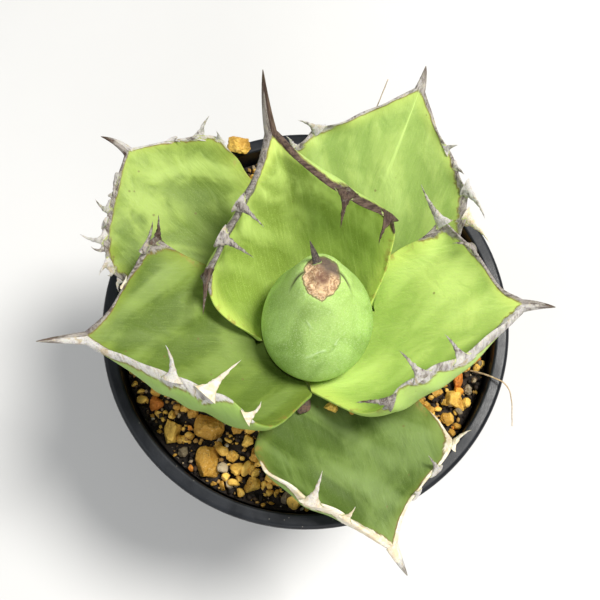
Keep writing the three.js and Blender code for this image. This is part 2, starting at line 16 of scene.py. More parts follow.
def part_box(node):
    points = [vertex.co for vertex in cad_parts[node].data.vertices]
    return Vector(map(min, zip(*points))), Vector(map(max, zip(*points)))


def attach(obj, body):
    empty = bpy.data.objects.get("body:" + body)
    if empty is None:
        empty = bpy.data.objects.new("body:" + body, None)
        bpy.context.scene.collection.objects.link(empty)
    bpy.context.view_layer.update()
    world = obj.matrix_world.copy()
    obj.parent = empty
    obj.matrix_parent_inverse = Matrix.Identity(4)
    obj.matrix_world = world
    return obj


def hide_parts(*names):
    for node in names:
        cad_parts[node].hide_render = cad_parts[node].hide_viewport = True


MM = 0.001  # metres in a millimetre
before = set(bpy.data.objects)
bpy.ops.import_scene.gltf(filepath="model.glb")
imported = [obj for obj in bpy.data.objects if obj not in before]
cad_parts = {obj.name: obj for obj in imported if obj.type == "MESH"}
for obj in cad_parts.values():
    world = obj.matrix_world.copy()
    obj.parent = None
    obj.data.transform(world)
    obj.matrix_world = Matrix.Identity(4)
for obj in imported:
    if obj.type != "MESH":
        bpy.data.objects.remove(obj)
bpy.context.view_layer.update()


def node_box(node):
    """Lowest and highest corner of a CAD node, in millimetres."""
    low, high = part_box(node)
    return np.array(low) / MM, np.array(high) / MM


# ---------------------------------------------------------------- driving dimensions, in millimetres
POT_LOW, POT_HIGH = node_box("pot")
RIM_HEIGHT = POT_HIGH[2]
RIM_RADIUS = (POT_HIGH[0] - POT_LOW[0]) / 2
RIM_WIDTH = 4.2
WALL = 1.8
POT_FLOOR = 3.0
BASE_RADIUS = 43.0
BAND_HEIGHT = 9.0
DRAIN_COUNT = 6
DRAIN_RADIUS = 4.0
DRAIN_CIRCLE = 27.0
GROOVE_DEPTH = 1.4
GROOVE_WIDTH = 6.0
WALL_INSIDE = RIM_RADIUS - RIM_WIDTH

SOIL_DROP = 7.5
SOIL_MOUND = 2.0
SOIL_EDGE = RIM_HEIGHT - SOIL_DROP

STEM_X = 3.5
STEM_Y = -6.0
CROWN = RIM_HEIGHT - 5.5
LEAF_START = 6.0
STEM_RISE = 1.2

CLEARANCE = 0.25  # between neighbouring leaves, and between them and the bud

BUD_HEIGHT = 47.0
BUD_RADIUS = 15.2
BUD_LEAN = 0.15
BUD_FOOT_SHIFT = 3.0
THORN_LENGTH = 9.0
THORN_RADIUS = 1.5

# ---------------------------------------------------------------- leaves
WIDTH_STATIONS = [0, 0.2, 0.4, 0.55, 0.7, 0.8, 0.9, 1]
CURL_STATIONS = [0, 0.3, 0.6, 0.85, 1]
PITCH_STATIONS = [0, 0.35, 0.7, 1, 1.5, 2]
HORN_STATIONS = [0, 0.35, 0.5, 0.65, 0.8, 0.92, 1]
THICKNESS = [8, 7, 6.2, 5.6, 5, 4.4, 3.6, 2.8]
EDGE_THICKNESS = 1.5
SPINE_TAPER = 0.8
CURL_BEND = 1.6
TOOTH_BASE = 1.6
CLASP_END = 0.3
RIB_STEPS = 80
CURL_PIECES = 12  # straight pieces that a rolled half of a blade is summed from
MOUND_SHARE = 0.14  # the margin's mound under a tooth, of the tooth's length
MOUND_REACH = 2.6  # how far that mound runs along the margin
APRON_SHARE = 0.24  # how far horn spreads from a tooth over the skin, of the tooth's length
APRON_REACH = 0.3  # how far it runs along the margin, of the same length
FOLD_COS, FOLD_SIN = 0.77, 0.64  # direction of the skin's folds
FOLD_SIZE = 6.5

# As in the CAD source. heading, turn, hook, pitch and the curls are in degrees.
# horn_left, horn_right: width of the horny margin at HORN_STATIONS.
# wave: height and count of the margin's waves. folds: height of the skin's soft folds.
# tone: how dark the left and the right horny margin are, from 0, cream, to 1, near black.
# clasp: how far the foot of the right half reaches back round the stem.
# A tooth is (side, station, length, lean at root, lean at point, lift at root, lift at point, tone).
LEAVES = [
    dict(
        name="leaf_inner_back", heading=106, turn=1, hook=-16, base=3.5, length=62, spine=18,
        pitch=[25, 50, 62, 55, 60, 62],
        left=[20, 28.5, 31, 26, 15.5, 9.2, 4.5, 1.3],
        right=[20, 26.5, 30.5, 31.5, 22.5, 14.5, 6, 1.3],
        curl_left=[80, 70, 60, 50, 40],
        curl_right=[80, 70, 80, 105, 50],
        horn_left=[0, 0, 0.7, 1.1, 0.9, 0.8, 1.2],
        horn_right=[0, 0, 0.4, 3.2, 1.7, 0.9, 1.2],
        folds=0.3, wave=(0.2, 5), tone=(0.5, 0.95),
        teeth=[
            (1, 0.75, 8.5, -10, -60, 60, 90, 0.6),
            (1, 0.64, 9.5, -10, -45, 70, 90, 0.65),
            (1, 0.5, 11, -10, -40, 10, 0, 0.9),
            (-1, 0.735, 8.5, -40, -70, 30, 40, 0.95),
            (-1, 0.59, 7.5, -10, -80, 50, 80, 1.0),
        ],
    ),
    dict(
        name="leaf_right", heading=5, turn=-8, hook=-14, base=3.5, length=56, spine=8.5, clasp=12,
        pitch=[20, 35, 38, 30, 20, 15],
        left=[15, 17, 21, 23, 24.5, 17, 6, 1.5],
        right=[16, 29.5, 33, 32.5, 26.5, 18.5, 9, 1.5],
        curl_left=[40, 40, 40, 40, 30],
        curl_right=[70, 78, 116, 90, 40],
        horn_left=[0, 0, 0, 0.6, 0.7, 0.7, 1.1],
        horn_right=[0, 0, 0, 2.0, 2.6, 2.7, 1.8],
        folds=0.35, wave=(0.4, 5), tone=(0.5, 0.3),
        teeth=[
            (1, 0.8, 5.5, -10, -75, 30, 60, 0.8),
            (1, 0.68, 12, -15, 10, 0, 15, 0.45),
            (-1, 0.78, 7, 0, -35, 30, 50, 0.45),
            (-1, 0.63, 8, -10, -45, 20, 50, 0.5),
            (-1, 0.44, 8.5, -40, -85, 0, 0, 0.75),
        ],
    ),
    dict(
        name="leaf_left", heading=184, turn=6, hook=0, base=3.5, length=62.5, spine=12.5,
        pitch=[20, 32, 31, 26, 20, 15],
        left=[21, 30.5, 35.5, 33, 27, 18.5, 8.5, 1.5],
        right=[20, 19, 19.5, 22.5, 25, 17, 7, 1.5],
        curl_left=[70, 76, 118, 112, 50],
        curl_right=[40, 30, 30, 30, 30],
        horn_left=[0, 0, 0, 2.3, 2.0, 1.3, 1.5],
        horn_right=[0, 0, 0, 0.3, 0.6, 0.8, 1.3],
        folds=0.6, wave=(0.35, 5), tone=(0.2, 0.6),
        teeth=[
            (-1, 0.83, 2.5, 0, 0, 30, 30, 0.15),
            (-1, 0.74, 8, -15, 10, 10, 25, 0.7),
            (-1, 0.69, 7.5, 0, 20, 10, 25, 0.9),
            (1, 0.74, 8, 0, 30, 25, 55, 0.25),
            (1, 0.62, 11, -35, -50, 25, 25, 0.15),
            (1, 0.45, 5.5, -45, 10, 15, 45, 0.15),
        ],
    ),
    dict(
        name="leaf_back_right", heading=66, turn=2, hook=15, base=-0.5, length=74.5, spine=7,
        pitch=[10, 20, 25, 30, 30, 30],
        left=[18, 23, 28, 30, 25, 17, 9, 1.5],
        right=[18, 22, 26, 27, 23, 16, 8, 1.5],
        curl_left=[30, 30, 30, 30, 20],
        curl_right=[30, 30, 30, 30, 20],
        horn_left=[0, 0.2, 0.4, 0.6, 0.6, 0.6, 1.2],
        horn_right=[0, 0.2, 0.5, 0.6, 0.6, 0.6, 1.2],
        folds=0.5, wave=(0.9, 7), tone=(0.35, 0.45),
        teeth=[
            (1, 0.72, 7.5, 15, -10, 10, 25, 0.3),
            (1, 0.62, 5, 40, 10, 20, 30, 0.3),
            (-1, 0.83, 3.5, 40, 20, 10, 10, 0.4),
            (-1, 0.77, 3.5, -5, -25, 10, 10, 0.5),
            (-1, 0.7, 10, -15, -50, 0, 0, 0.3),
            (-1, 0.6, 10, -10, -35, 0, 0, 0.1),
        ],
    ),
    dict(
        name="leaf_back_left", heading=136, turn=2, hook=38, base=-0.5, length=73, spine=9,
        pitch=[10, 18, 20, 20, 20, 20],
        left=[18, 23, 26, 27, 28, 24, 14, 1.5],
        right=[18, 19, 19, 20, 21.5, 21, 12.5, 1.5],
        curl_left=[20, 20, 20, 20, 20],
        curl_right=[30, 30, 30, 30, 20],
        horn_left=[0, 0, 0.3, 0.5, 0.7, 0.7, 1.2],
        horn_right=[0, 0, 0, 0, 0.5, 0.7, 1.2],
        folds=0.6, wave=(0.8, 8), tone=(0.6, 0.3),
        teeth=[
            (-1, 0.91, 3, -30, -60, 50, 60, 0.3),
            (-1, 0.85, 7, 30, 0, 10, 20, 0.3),
            (1, 0.95, 6, -20, -50, 10, 10, 0.5),
            (1, 0.89, 7, 10, 65, 30, 90, 0.4),
            (1, 0.82, 8, 15, 65, 20, 45, 0.3),
            (1, 0.74, 5, 10, -30, 10, 10, 0.3),
            (1, 0.92, 3.4, 40, -40, 30, 70, 0.35),
            (1, 0.855, 3.6, -30, 60, 50, 90, 0.4),
            (1, 0.79, 4, 0, 100, 0, 20, 0.5),
            (1, 0.705, 3.8, -40, 40, 20, 60, 0.4),
            (1, 0.66, 4.4, 10, -80, 10, 20, 0.35),
            (1, 0.6, 3, -10, 50, 20, 20, 0.3),
            (-1, 0.79, 3, 20, 60, 40, 60, 0.3),
        ],
    ),
    dict(
        name="leaf_front", heading=-74, turn=7, hook=6, base=-1.5, length=57, spine=8.5,
        pitch=[12, 15, 15, 9, 5, 0],
        left=[18, 20, 23, 26, 24.5, 14, 6, 1.5],
        right=[18, 21, 28, 29.5, 24, 15.5, 7.5, 1.5],
        curl_left=[20, 20, 20, 30, 30],
        curl_right=[20, 30, 80, 110, 60],
        horn_left=[0, 0, 0.3, 0.7, 0.6, 0.7, 1.3],
        horn_right=[0, 0, 0.3, 1.4, 2.6, 2.6, 1.8],
        folds=1.5, wave=(0.5, 6), tone=(0.1, 0.04),
        teeth=[
            (-1, 0.73, 9, -15, -45, 15, 40, 0.2),
            (-1, 0.83, 4, 0, -30, 20, 30, 0.1),
            (1, 0.67, 7, -25, 20, 10, 30, 0.04),
            (1, 0.76, 5.5, -10, -60, 60, 100, 0.45),
            (1, 0.83, 3, 0, 0, 70, 80, 0.3),
        ],
    ),
]


# ---------------------------------------------------------------- maths
def smooth(stations, values, x):
    """A cubic curve through values at stations, for a number or an array."""
    xs = np.asarray(stations, float)
    ys = np.asarray(values, float)
    x = np.clip(np.asarray(x, float), xs[0], xs[-1])
    k = np.clip(np.searchsorted(xs, x) - 1, 0, len(xs) - 2)
    index = np.arange(len(xs))
    before = np.maximum(index - 1, 0)
    after = np.minimum(index + 1, len(xs) - 1)
    slopes = (ys[after] - ys[before]) / (xs[after] - xs[before])
    span = xs[k + 1] - xs[k]
    u = (x - xs[k]) / span
    first = (1 + 2 * u) * (1 - u) ** 2 * ys[k] + u * (1 - u) ** 2 * span * slopes[k]
    second = u * u * (3 - 2 * u) * ys[k + 1] + u * u * (u - 1) * span * slopes[k + 1]
    return first + second


def step(low, high, x):
    """0 below low, 1 above high and a smooth rise between them."""
    u = np.clip((np.asarray(x, float) - low) / (high - low), 0, 1)
    return u * u * (3 - 2 * u)


def lumps(points, size, seed=0.0):
    """Smooth noise from -1 to 1 at each point, with lumps about that size."""
    places = (np.asarray(points, float) / size + seed).reshape(-1, 3)
    values = np.array([noise.noise(Vector(place)) for place in places])
    return values.reshape(np.shape(points)[:-1])


def unit(vectors):
    return vectors / np.linalg.norm(vectors, axis=-1, keepdims=True)


def soil_height(x, y):
    share = np.minimum(np.hypot(x - STEM_X, y - STEM_Y) / WALL_INSIDE, 1)
    return SOIL_EDGE + SOIL_MOUND * (1 - share**2)


# ---------------------------------------------------------------- meshes
def mesh_object(name, points, faces, attributes=None):
    """An object from points in millimetres. attributes: name to a value, or a vector, for each point."""
    mesh = bpy.data.meshes.new(name)
    mesh.from_pydata(np.asarray(points, float) * MM, [], faces if isinstance(faces, list) else faces.tolist())
    for key, values in (attributes or {}).items():
        values = np.asarray(values, np.float32)
        if values.ndim == 1:
            mesh.attributes.new(key, "FLOAT", "POINT").data.foreach_set("value", values)
        else:
            mesh.attributes.new(key, "FLOAT_VECTOR", "POINT").data.foreach_set("vector", values.ravel())
    mesh.validate()
    mesh.polygons.foreach_set("use_smooth", [True] * len(mesh.polygons))
    mesh.update()
    thing = bpy.data.objects.new(name, mesh)
    bpy.context.scene.collection.objects.link(thing)
    return thing


def skin_faces(rings, across):
    """Quads over rings of points that close on themselves, and a fan to a centre point at each end."""
    i, j = np.meshgrid(np.arange(rings - 1), np.arange(across), indexing="ij")
    a = (i * across + j).ravel()
    b = (i * across + (j + 1) % across).ravel()
    faces = np.stack([a, b, b + across, a + across], -1).tolist()
    first, last = rings * across, rings * across + 1
    for k in range(across):
        following = (k + 1) % across
        faces.append([first, following, k])
        faces.append([last, (rings - 1) * across + k, (rings - 1) * across + following])
    return faces


def skin_points(grid):
    """Points for skin_faces, from an array of rings."""
    return np.concatenate([grid.reshape(-1, grid.shape[-1]), grid[0].mean(0)[None], grid[-1].mean(0)[None]])


def closed(values):
    """One number for each of skin_points' points, from an array of rings."""
    return skin_points(values[..., None])[:, 0]


def apply_modifiers(thing):
    """Replace an object's mesh by what its modifiers make of it."""
    depsgraph = bpy.context.evaluated_depsgraph_get()
    mesh = bpy.data.meshes.new_from_object(thing.evaluated_get(depsgraph), depsgraph=depsgraph)
    old = thing.data
    thing.modifiers.clear()
    thing.data = mesh
    mesh.name = thing.name
    bpy.data.meshes.remove(old)


def combine(thing, other, operation):
    """Join other to thing or cut it away, as one closed mesh."""
    modifier = thing.modifiers.new("combine", "BOOLEAN")
    modifier.operation = operation
    modifier.solver = "MANIFOLD"
    modifier.object = other
    apply_modifiers(thing)


def remove(things):
    for thing in things:
        mesh = thing.data
        bpy.data.objects.remove(thing)
        bpy.data.meshes.remove(mesh)


def keep_largest(thing):
    """Delete every loose part of a mesh except the largest one."""
    shape = bmesh.new()
    shape.from_mesh(thing.data)
    left = set(shape.verts)
    best = set()
    while left:
        queue = [left.pop()]
        part = set(queue)
        while queue:
            for edge in queue.pop().link_edges:
                for vert in edge.verts:
                    if vert in left:
                        left.discard(vert)
                        part.add(vert)
                        queue.append(vert)
        best = part if len(part) > len(best) else best
    bmesh.ops.delete(shape, geom=[v for v in shape.verts if v not in best], context="VERTS")
    shape.to_mesh(thing.data)
    shape.free()


# ---------------------------------------------------------------- leaf shape
def midrib(leaf):
    """Places and directions along a leaf's midrib: the blade up to station 1, then the end spine up to 2."""
    t = np.arange(2 * RIB_STEPS + 1) / RIB_STEPS
    pitch = np.radians(smooth(PITCH_STATIONS, leaf["pitch"], t))
    swing = leaf["turn"] * np.minimum(t, 1) ** 1.5 + leaf["hook"] * np.maximum(t - 1, 0)
    heading = np.radians(leaf["heading"] + swing)
    along = np.stack([np.cos(pitch) * np.cos(heading), np.cos(pitch) * np.sin(heading), np.sin(pitch)], -1)
    left = np.stack([-np.sin(heading), np.cos(heading), 0 * heading], -1)
    face = np.cross(along, left)
    strides = np.where(t < 1, leaf["length"], leaf["spine"])[:-1, None] / RIB_STEPS
    start = [
        STEM_X + LEAF_START * math.cos(heading[0]),
        STEM_Y + LEAF_START * math.sin(heading[0]),
        CROWN + leaf["base"],
    ]
    place = np.concatenate([[start], start + np.cumsum(along[:-1] * strides, 0)])
    return dict(t=t, place=place, along=along, left=left, face=face)


def on_rib(rib, key, t):
    return np.stack([np.interp(t, rib["t"], rib[key][:, axis]) for axis in range(3)], -1)


def half_width(leaf, t, side):
    """Arc width of one half of the blade. Each tooth stands on a low mound of the margin."""
    blade = np.minimum(t, 1)
    width = np.where(
        side > 0,
        smooth(WIDTH_STATIONS, leaf["left"], blade),
        smooth(WIDTH_STATIONS, leaf["right"], blade),
    )
    for tooth_side, station, length, *_ in leaf["teeth"]:
        mound = MOUND_SHARE * length * np.exp(-(((t - station) * leaf["length"] / MOUND_REACH) ** 2))
        width = width + np.where(side == tooth_side, mound, 0)
    taper = np.where(t > 1, np.maximum(2 - t, 0) ** SPINE_TAPER, 1)
    return width * taper


def on_leaf(leaf, rib, t, s):
    """Places and directions on a leaf's upper face. s runs from -1, the right margin, to 1, the left one."""
    side = np.where(s >= 0, 1, -1)
    blade = np.minimum(t, 1)
    curl_left = smooth(CURL_STATIONS, leaf["curl_left"], blade)
    curl = np.radians(np.where(side > 0, curl_left, smooth(CURL_STATIONS, leaf["curl_right"], blade)))
    width = half_width(leaf, t, side)
    share = np.abs(s)
    out = np.zeros_like(t)
    rise = np.zeros_like(t)
    for i in range(CURL_PIECES):
        angle = curl * ((i + 0.5) / CURL_PIECES * share) ** CURL_BEND
        out += width * share * np.cos(angle) / CURL_PIECES
        rise += width * share * np.sin(angle) / CURL_PIECES
    angle = (curl * share**CURL_BEND)[..., None]
    side = side[..., None]
    left = on_rib(rib, "left", t)
    face = on_rib(rib, "face", t)
    place = on_rib(rib, "place", t) + left * side * out[..., None] + face * rise[..., None]
    clasp = leaf.get("clasp", 0) * share**1.3 * np.maximum(0, 1 - t / CLASP_END) ** 1.5
    place = place - on_rib(rib, "along", t) * np.where(side < 0, clasp[..., None], 0)
    normal = face * np.cos(angle) - left * side * np.sin(angle)
    outward = left * side * np.cos(angle) + face * np.sin(angle)
    return place, normal, outward, on_rib(rib, "along", t), width


def blade_object(leaf, rib, index, grow=0.0, rings=150, spine_rings=44, across=144):
    """A leaf's blade and end spine as one closed mesh. grow swells it on all sides."""
    stations = np.concatenate([
        np.linspace(0, 1, rings, endpoint=False),
        1 + np.linspace(0, 0.985, spine_rings) ** 0.9,
    ])
    turn = np.linspace(0, 2 * np.pi, across, endpoint=False)
    t, angle = np.meshgrid(stations, turn, indexing="ij")
    s = np.cos(angle)
    upper_side = np.sin(angle) >= 0
    place, normal, outward, along, width = on_leaf(leaf, rib, t, s)
    taper = np.where(t > 1, np.maximum(2 - t, 0) ** SPINE_TAPER, 1)
    middle = smooth(WIDTH_STATIONS, THICKNESS, np.minimum(t, 1)) * taper
    edge = EDGE_THICKNESS / 2 * taper
    roundness = np.sqrt(np.abs(np.sin(angle)))
    from_margin = (1 - np.abs(s)) * width
    reach = np.minimum(t, 1) * leaf["length"] + np.maximum(t - 1, 0) * leaf["spine"]
    grain = np.stack([s * width, reach, EDGE_THICKNESS * np.sin(angle) + 37.0 * index], -1)

    horn_left = smooth(HORN_STATIONS, leaf["horn_left"], np.minimum(t, 1))
    horn_width = np.where(s > 0, horn_left, smooth(HORN_STATIONS, leaf["horn_right"], np.minimum(t, 1)))
    ragged = grow == 0
    for tooth_side, station, length, *_ in leaf["teeth"]:
        offset = (t - station) * leaf["length"]
        apron = APRON_SHARE * length * np.exp(-((offset / (APRON_REACH * length)) ** 2))
        horn_width = horn_width + np.where(s * tooth_side > 0, apron, 0)
    fray = 1 + (0.45 * lumps(grain * [0, 1, 1], 2.3) + 0.3 * lumps(grain, 0.8) if ragged else 0)
    has_horn = step(0.05, 0.35, horn_width)
    horn_width = horn_width * fray * np.where(upper_side, 1, 0.7) - 0.6 * (1 - has_horn)
    horn = step(0.22, -0.12, from_margin - horn_width)
    horn = np.maximum(horn, step(0.985, 1.01, t + 0.015 * (lumps(grain, 1.5) if ragged else 0)))

    swell = np.where(t == 0, 2 * grow, grow)
    upper = (edge + swell) * roundness
    lower = upper + np.maximum(middle - 2 * edge, 0) * (1 - s * s) ** 0.8
    height = np.where(upper_side, upper, -lower)
    if ragged:
        on_blade = np.where(t > 1, 0, 1)
        crust = 0.16 + 0.16 * lumps(grain, 0.9, 5) + 0.1 * lumps(grain, 0.4, 9)
        height = height + np.where(upper_side, 1, -1) * horn * crust * roundness * (0.4 + 0.6 * on_blade)
        height = height + 0.45 * lumps(grain * [1, 0.6, 1], 12, 3) * roundness * on_blade
        slant_x = FOLD_COS * grain[..., 0] - FOLD_SIN * grain[..., 1]
        slant_y = FOLD_SIN * grain[..., 0] + FOLD_COS * grain[..., 1]
        folds = lumps(np.stack([slant_x, 0.3 * slant_y, grain[..., 2]], -1), FOLD_SIZE, 7)
        folds = folds * on_blade * step(0.98, 0.8, t)
        height = height + leaf["folds"] * (folds + 0.3 * on_blade) * roundness
    else:
        folds = 0 * t
        channel = np.exp(-((s / 0.45) ** 2)) * step(0.9, 1.05, t) * step(2, 1.3, t)
        height = height - np.where(upper_side, 0.7 * channel, 0)
    wave_height, wave_count = leaf["wave"]
    wave = wave_height * np.sin(2 * np.pi * wave_count * t + 2.1 * np.sign(s) + index) * np.abs(s) ** 6
    wave = wave * np.where(t > 1, 0, step(0.15, 0.5, t) * step(1, 0.85, t))
    place = place + normal * (height + wave)[..., None]
    place = place + outward * (2 * swell * np.abs(s))[..., None]
    place = place - along * np.where(t == 0, 2 * swell, 0)[..., None]

    line = np.where(t > 1, 0, has_horn) * np.exp(-(((from_margin - horn_width) - 0.25) / 0.28) ** 2)
    tone_left, tone_right = leaf["tone"]
    tone = np.where(s > 0, tone_left, tone_right) + 0.45 * step(1.35, 1.9, t)
    attributes = dict(
        grain=skin_points(grain),
        horn=closed(horn),
        rim=closed(np.clip(line, 0, 1)),
        margin=closed(from_margin),
        under=closed(np.where(upper_side, 0.0, 1.0)),
        tone=closed(tone),
        reach=closed(np.minimum(t, 2)),
        middle=closed(np.abs(s)),
        # The folds' height, which the skin turns into painted highlight on their ridges and painted shade in
        # their valleys.
        fold_shading=closed(folds),
    )
    return mesh_object(leaf["name"], skin_points(place), skin_faces(len(stations), across), attributes)


def tooth_object(leaf, rib, tooth, index):
    """One tooth on a leaf's margin: a curved horn whose root spreads along the margin."""
    side, station, length, lean_root, lean_point, lift_root, lift_point, tone = tooth
    t = np.array([station])
    place, normal, outward, along, _ = on_leaf(leaf, rib, t, np.array([float(side)]))
    ahead, *_ = on_leaf(leaf, rib, t + 0.02, np.array([float(side)]))
    margin_way = unit(ahead - place)[0]
    place, normal, outward, along = place[0], normal[0], outward[0], along[0]
    radius = TOOTH_BASE * min(1, 0.45 + length / 18)
    rings, sides = 26, 20
    share = np.linspace(0, 1, rings)
    lean = np.radians(lean_root + (lean_point - lean_root) * share**1.2)[:, None]
    lift = np.radians(lift_root + (lift_point - lift_root) * share**1.2)[:, None]
    way = (outward * np.cos(lift) + normal * np.sin(lift)) * np.cos(lean) + along * np.sin(lean)
    start = place - way[0] * radius * 0.9
    path = np.concatenate([[start], start + np.cumsum(way[:-1] * (length + radius) / (rings - 1), 0)])
    long_axis = unit(margin_way - way * (way @ margin_way)[:, None])
    short_axis = np.cross(way, long_axis)
    fade = (1 - share**1.7) ** 0.9
    long_radius = radius * (0.42 + 1.75 * np.exp(-5.5 * share)) * fade
    short_radius = radius * (0.38 + 0.34 * np.exp(-5 * share)) * fade
    angle = np.linspace(0, 2 * np.pi, sides, endpoint=False)[None, :, None]
    grid = path[:, None] + long_axis[:, None] * np.cos(angle) * long_radius[:, None, None]
    grid = grid + short_axis[:, None] * np.sin(angle) * short_radius[:, None, None]
    away = unit(grid - path[:, None] + 1e-9)
    grid = grid + away * (lumps(grid, 0.9, index) * 0.26 * radius)[..., None] * fade[:, None, None]
    points = skin_points(grid)
    flow = closed(np.repeat(share[:, None], sides, 1))
    ones = np.ones(len(points))
    attributes = dict(
        grain=points * 1.0,
        horn=ones,
        rim=0 * ones,
        margin=0 * ones,
        under=0 * ones,
        tone=tone * (0.6 + 0.4 * np.maximum(flow, step(0.75, 0.95, tone))),
        reach=ones + 0.5,
        middle=ones,
        fold_shading=0 * ones,
    )
    return mesh_object("tooth", points, skin_faces(rings, sides), attributes)


# ---------------------------------------------------------------- bud
BUD_STATIONS = [0, 0.12, 0.28, 0.45, 0.6, 0.75, 0.87, 0.95, 1]
BUD_SHARES = [0.68, 0.92, 1.03, 0.96, 0.78, 0.6, 0.47, 0.33, 0.12]

# A ridge runs from one bearing to another, and from one share of the bud's height to another.
BUD_RIDGES = [(-140, -85, 0.84, 0.66), (-125, -45, 0.45, 0.66), (-85, -60, 0.66, 0.55)]


def bud_centre(share):
    share = np.asarray(share, float)
    height = BUD_HEIGHT * share
    x = STEM_X - BUD_FOOT_SHIFT * (1 - share) ** 6
    return np.stack([x, STEM_Y + BUD_LEAN * height, CROWN + STEM_RISE + 0.3 + height], -1)


def bud_object(grow=0.0):
    rings, across = 150, 160
    share = np.linspace(0, 1, rings)[:, None]
    angle = np.linspace(0, 2 * np.pi, across, endpoint=False)[None, :]
    around = np.stack(np.broadcast_arrays(np.cos(angle), np.sin(angle), 0 * share), -1)
    radius = BUD_RADIUS * smooth(BUD_STATIONS, BUD_SHARES, share) + grow
    centre = bud_centre(share[:, 0])[:, None]
    place = centre + around * radius[..., None]

    # The scar of dry tissue lies on the front of the bud's top.
    scar_centre = bud_centre(0.95) + np.array([0.3, -1.0, 0.5])
    away = np.linalg.norm((place - scar_centre) * [1, 0.95, 0.6], axis=-1)
    from_scar = place - scar_centre
    narrowing = 0.5 * np.abs(from_scar[..., 0]) * step(1.5, -4.5, from_scar[..., 2])
    scar = step(5.5, 5.1, away + narrowing + 0.5 * lumps(place, 3, 4) + 0.3 * lumps(place, 1, 8))
    # Its upper right is darkest, where the thorn's base spreads.
    cap_side = (place - scar_centre) @ unit(np.array([0.55, 0.8, 0.3]))
    # Two edges of the wrapping leaves run up to the top, left and right of it.
    seam = np.zeros_like(scar)
    for bearing, sway in ((20, -75), (165, 60)):
        path = np.radians(bearing + sway * (1 - share) ** 0.5)
        offset = np.abs((angle - path + np.pi) % (2 * np.pi) - np.pi) * radius
        seam = np.maximum(seam, np.exp(-((offset / 0.5) ** 2)) * step(0.78, 0.9, share))
    # Soft ridges that neighbouring leaves pressed into the skin, each with a groove below it.
    imprint = np.zeros_like(scar)
    bearing = (np.degrees(angle) + 180) % 360 - 180
    for first, last, low, high in BUD_RIDGES:
        u = (bearing - first) / (last - first)
        offset = (share - low - (high - low) * u) * BUD_HEIGHT + 2.0 * lumps(place, 3.2, 21)
        ends = step(0, 0.25, u) * step(1, 0.75, u) * step(-0.35, 0.3, lumps(place, 1.8, 30))
        groove = 0.8 * np.exp(-(((offset + 1.0) / 0.6) ** 2))
        imprint = imprint + ends * (np.exp(-((offset / 0.45) ** 2)) - groove)
    if grow == 0:
        place = place + around * (0.09 * imprint)[..., None]
        place = place + around * (0.25 * lumps(place, 9, 2))[..., None]
        place = place - around * (0.35 * seam)[..., None]
        dry = 0.35 * lumps(place, 1.6, 6) + 0.2 * lumps(place, 0.7, 1) - 0.25
        place = place + around * (scar * dry)[..., None]
    attributes = dict(
        grain=skin_points(place),
        horn=np.zeros(rings * across + 2),
        scar=closed(scar),
        seam=closed(seam),
        core=closed(step(2.4, 0.6, np.abs(away - 0.6) + 0.8 * lumps(place, 1.4, 12))),
        cap=closed(step(0.2, 3.2, cap_side + 1.2 * lumps(place, 2.2, 3))),
        imprint=closed(imprint),
        reach=closed(share + 0 * angle),
    )
    return mesh_object("bud", skin_points(place), skin_faces(rings, across), attributes)


def bud_thorn_object():
    rings, sides = 30, 20
    share = np.linspace(0, 1, rings)[:, None]
    reach = THORN_LENGTH * share
    sway = np.concatenate([-0.25 * reach - 0.5 * share**2, 0.75 * reach, 0.6 * reach + 1.2 * share**2], 1)
    path = bud_centre(0.94) + sway
    way = unit(np.gradient(path, axis=0))
    across = unit(np.cross(way, [0, 0, 1]))
    other = np.cross(way, across)
    angle = np.linspace(0, 2 * np.pi, sides, endpoint=False)[None, :, None]
    radius = (THORN_RADIUS * (1 - share**1.4) ** 0.8 * (0.75 + 0.5 * np.exp(-7 * share)))[:, None]
    ring = across[:, None] * np.cos(angle) * 1.25 + other[:, None] * np.sin(angle) * 0.7
    grid = path[:, None] + ring * radius
    points = skin_points(grid)
    ones = np.ones(len(points))
    flow = closed(np.repeat(share, sides, 1))
    attributes = dict(grain=points, horn=ones, scar=0 * ones, seam=0 * ones, core=0 * ones, cap=0 * ones)
    attributes["imprint"] = 0 * ones
    attributes["reach"] = 1 + flow
    return mesh_object("thorn", points, skin_faces(rings, sides), attributes)


# ---------------------------------------------------------------- pot
def lathe_points(profile, sides):
    """Rings round the Z axis from a profile of (radius, height), without its two ends on the axis."""
    angle = np.linspace(0, 2 * np.pi, sides, endpoint=False)
    profile = np.asarray(profile, float)
    radius, height = profile[:, :1], profile[:, 1:]
    return np.stack([radius * np.cos(angle), radius * np.sin(angle), height + 0 * angle], -1)


def arc(centre, radius, start, end, count=7):
    """Points on an arc in the profile's plane, in degrees."""
    turns = np.radians(np.linspace(start, end, count))
    return [(centre[0] + radius * math.cos(turn), centre[1] + radius * math.sin(turn)) for turn in turns]


def straight(start, end, count):
    return [tuple(np.array(start) * (1 - u) + np.array(end) * u) for u in np.linspace(0, 1, count)]


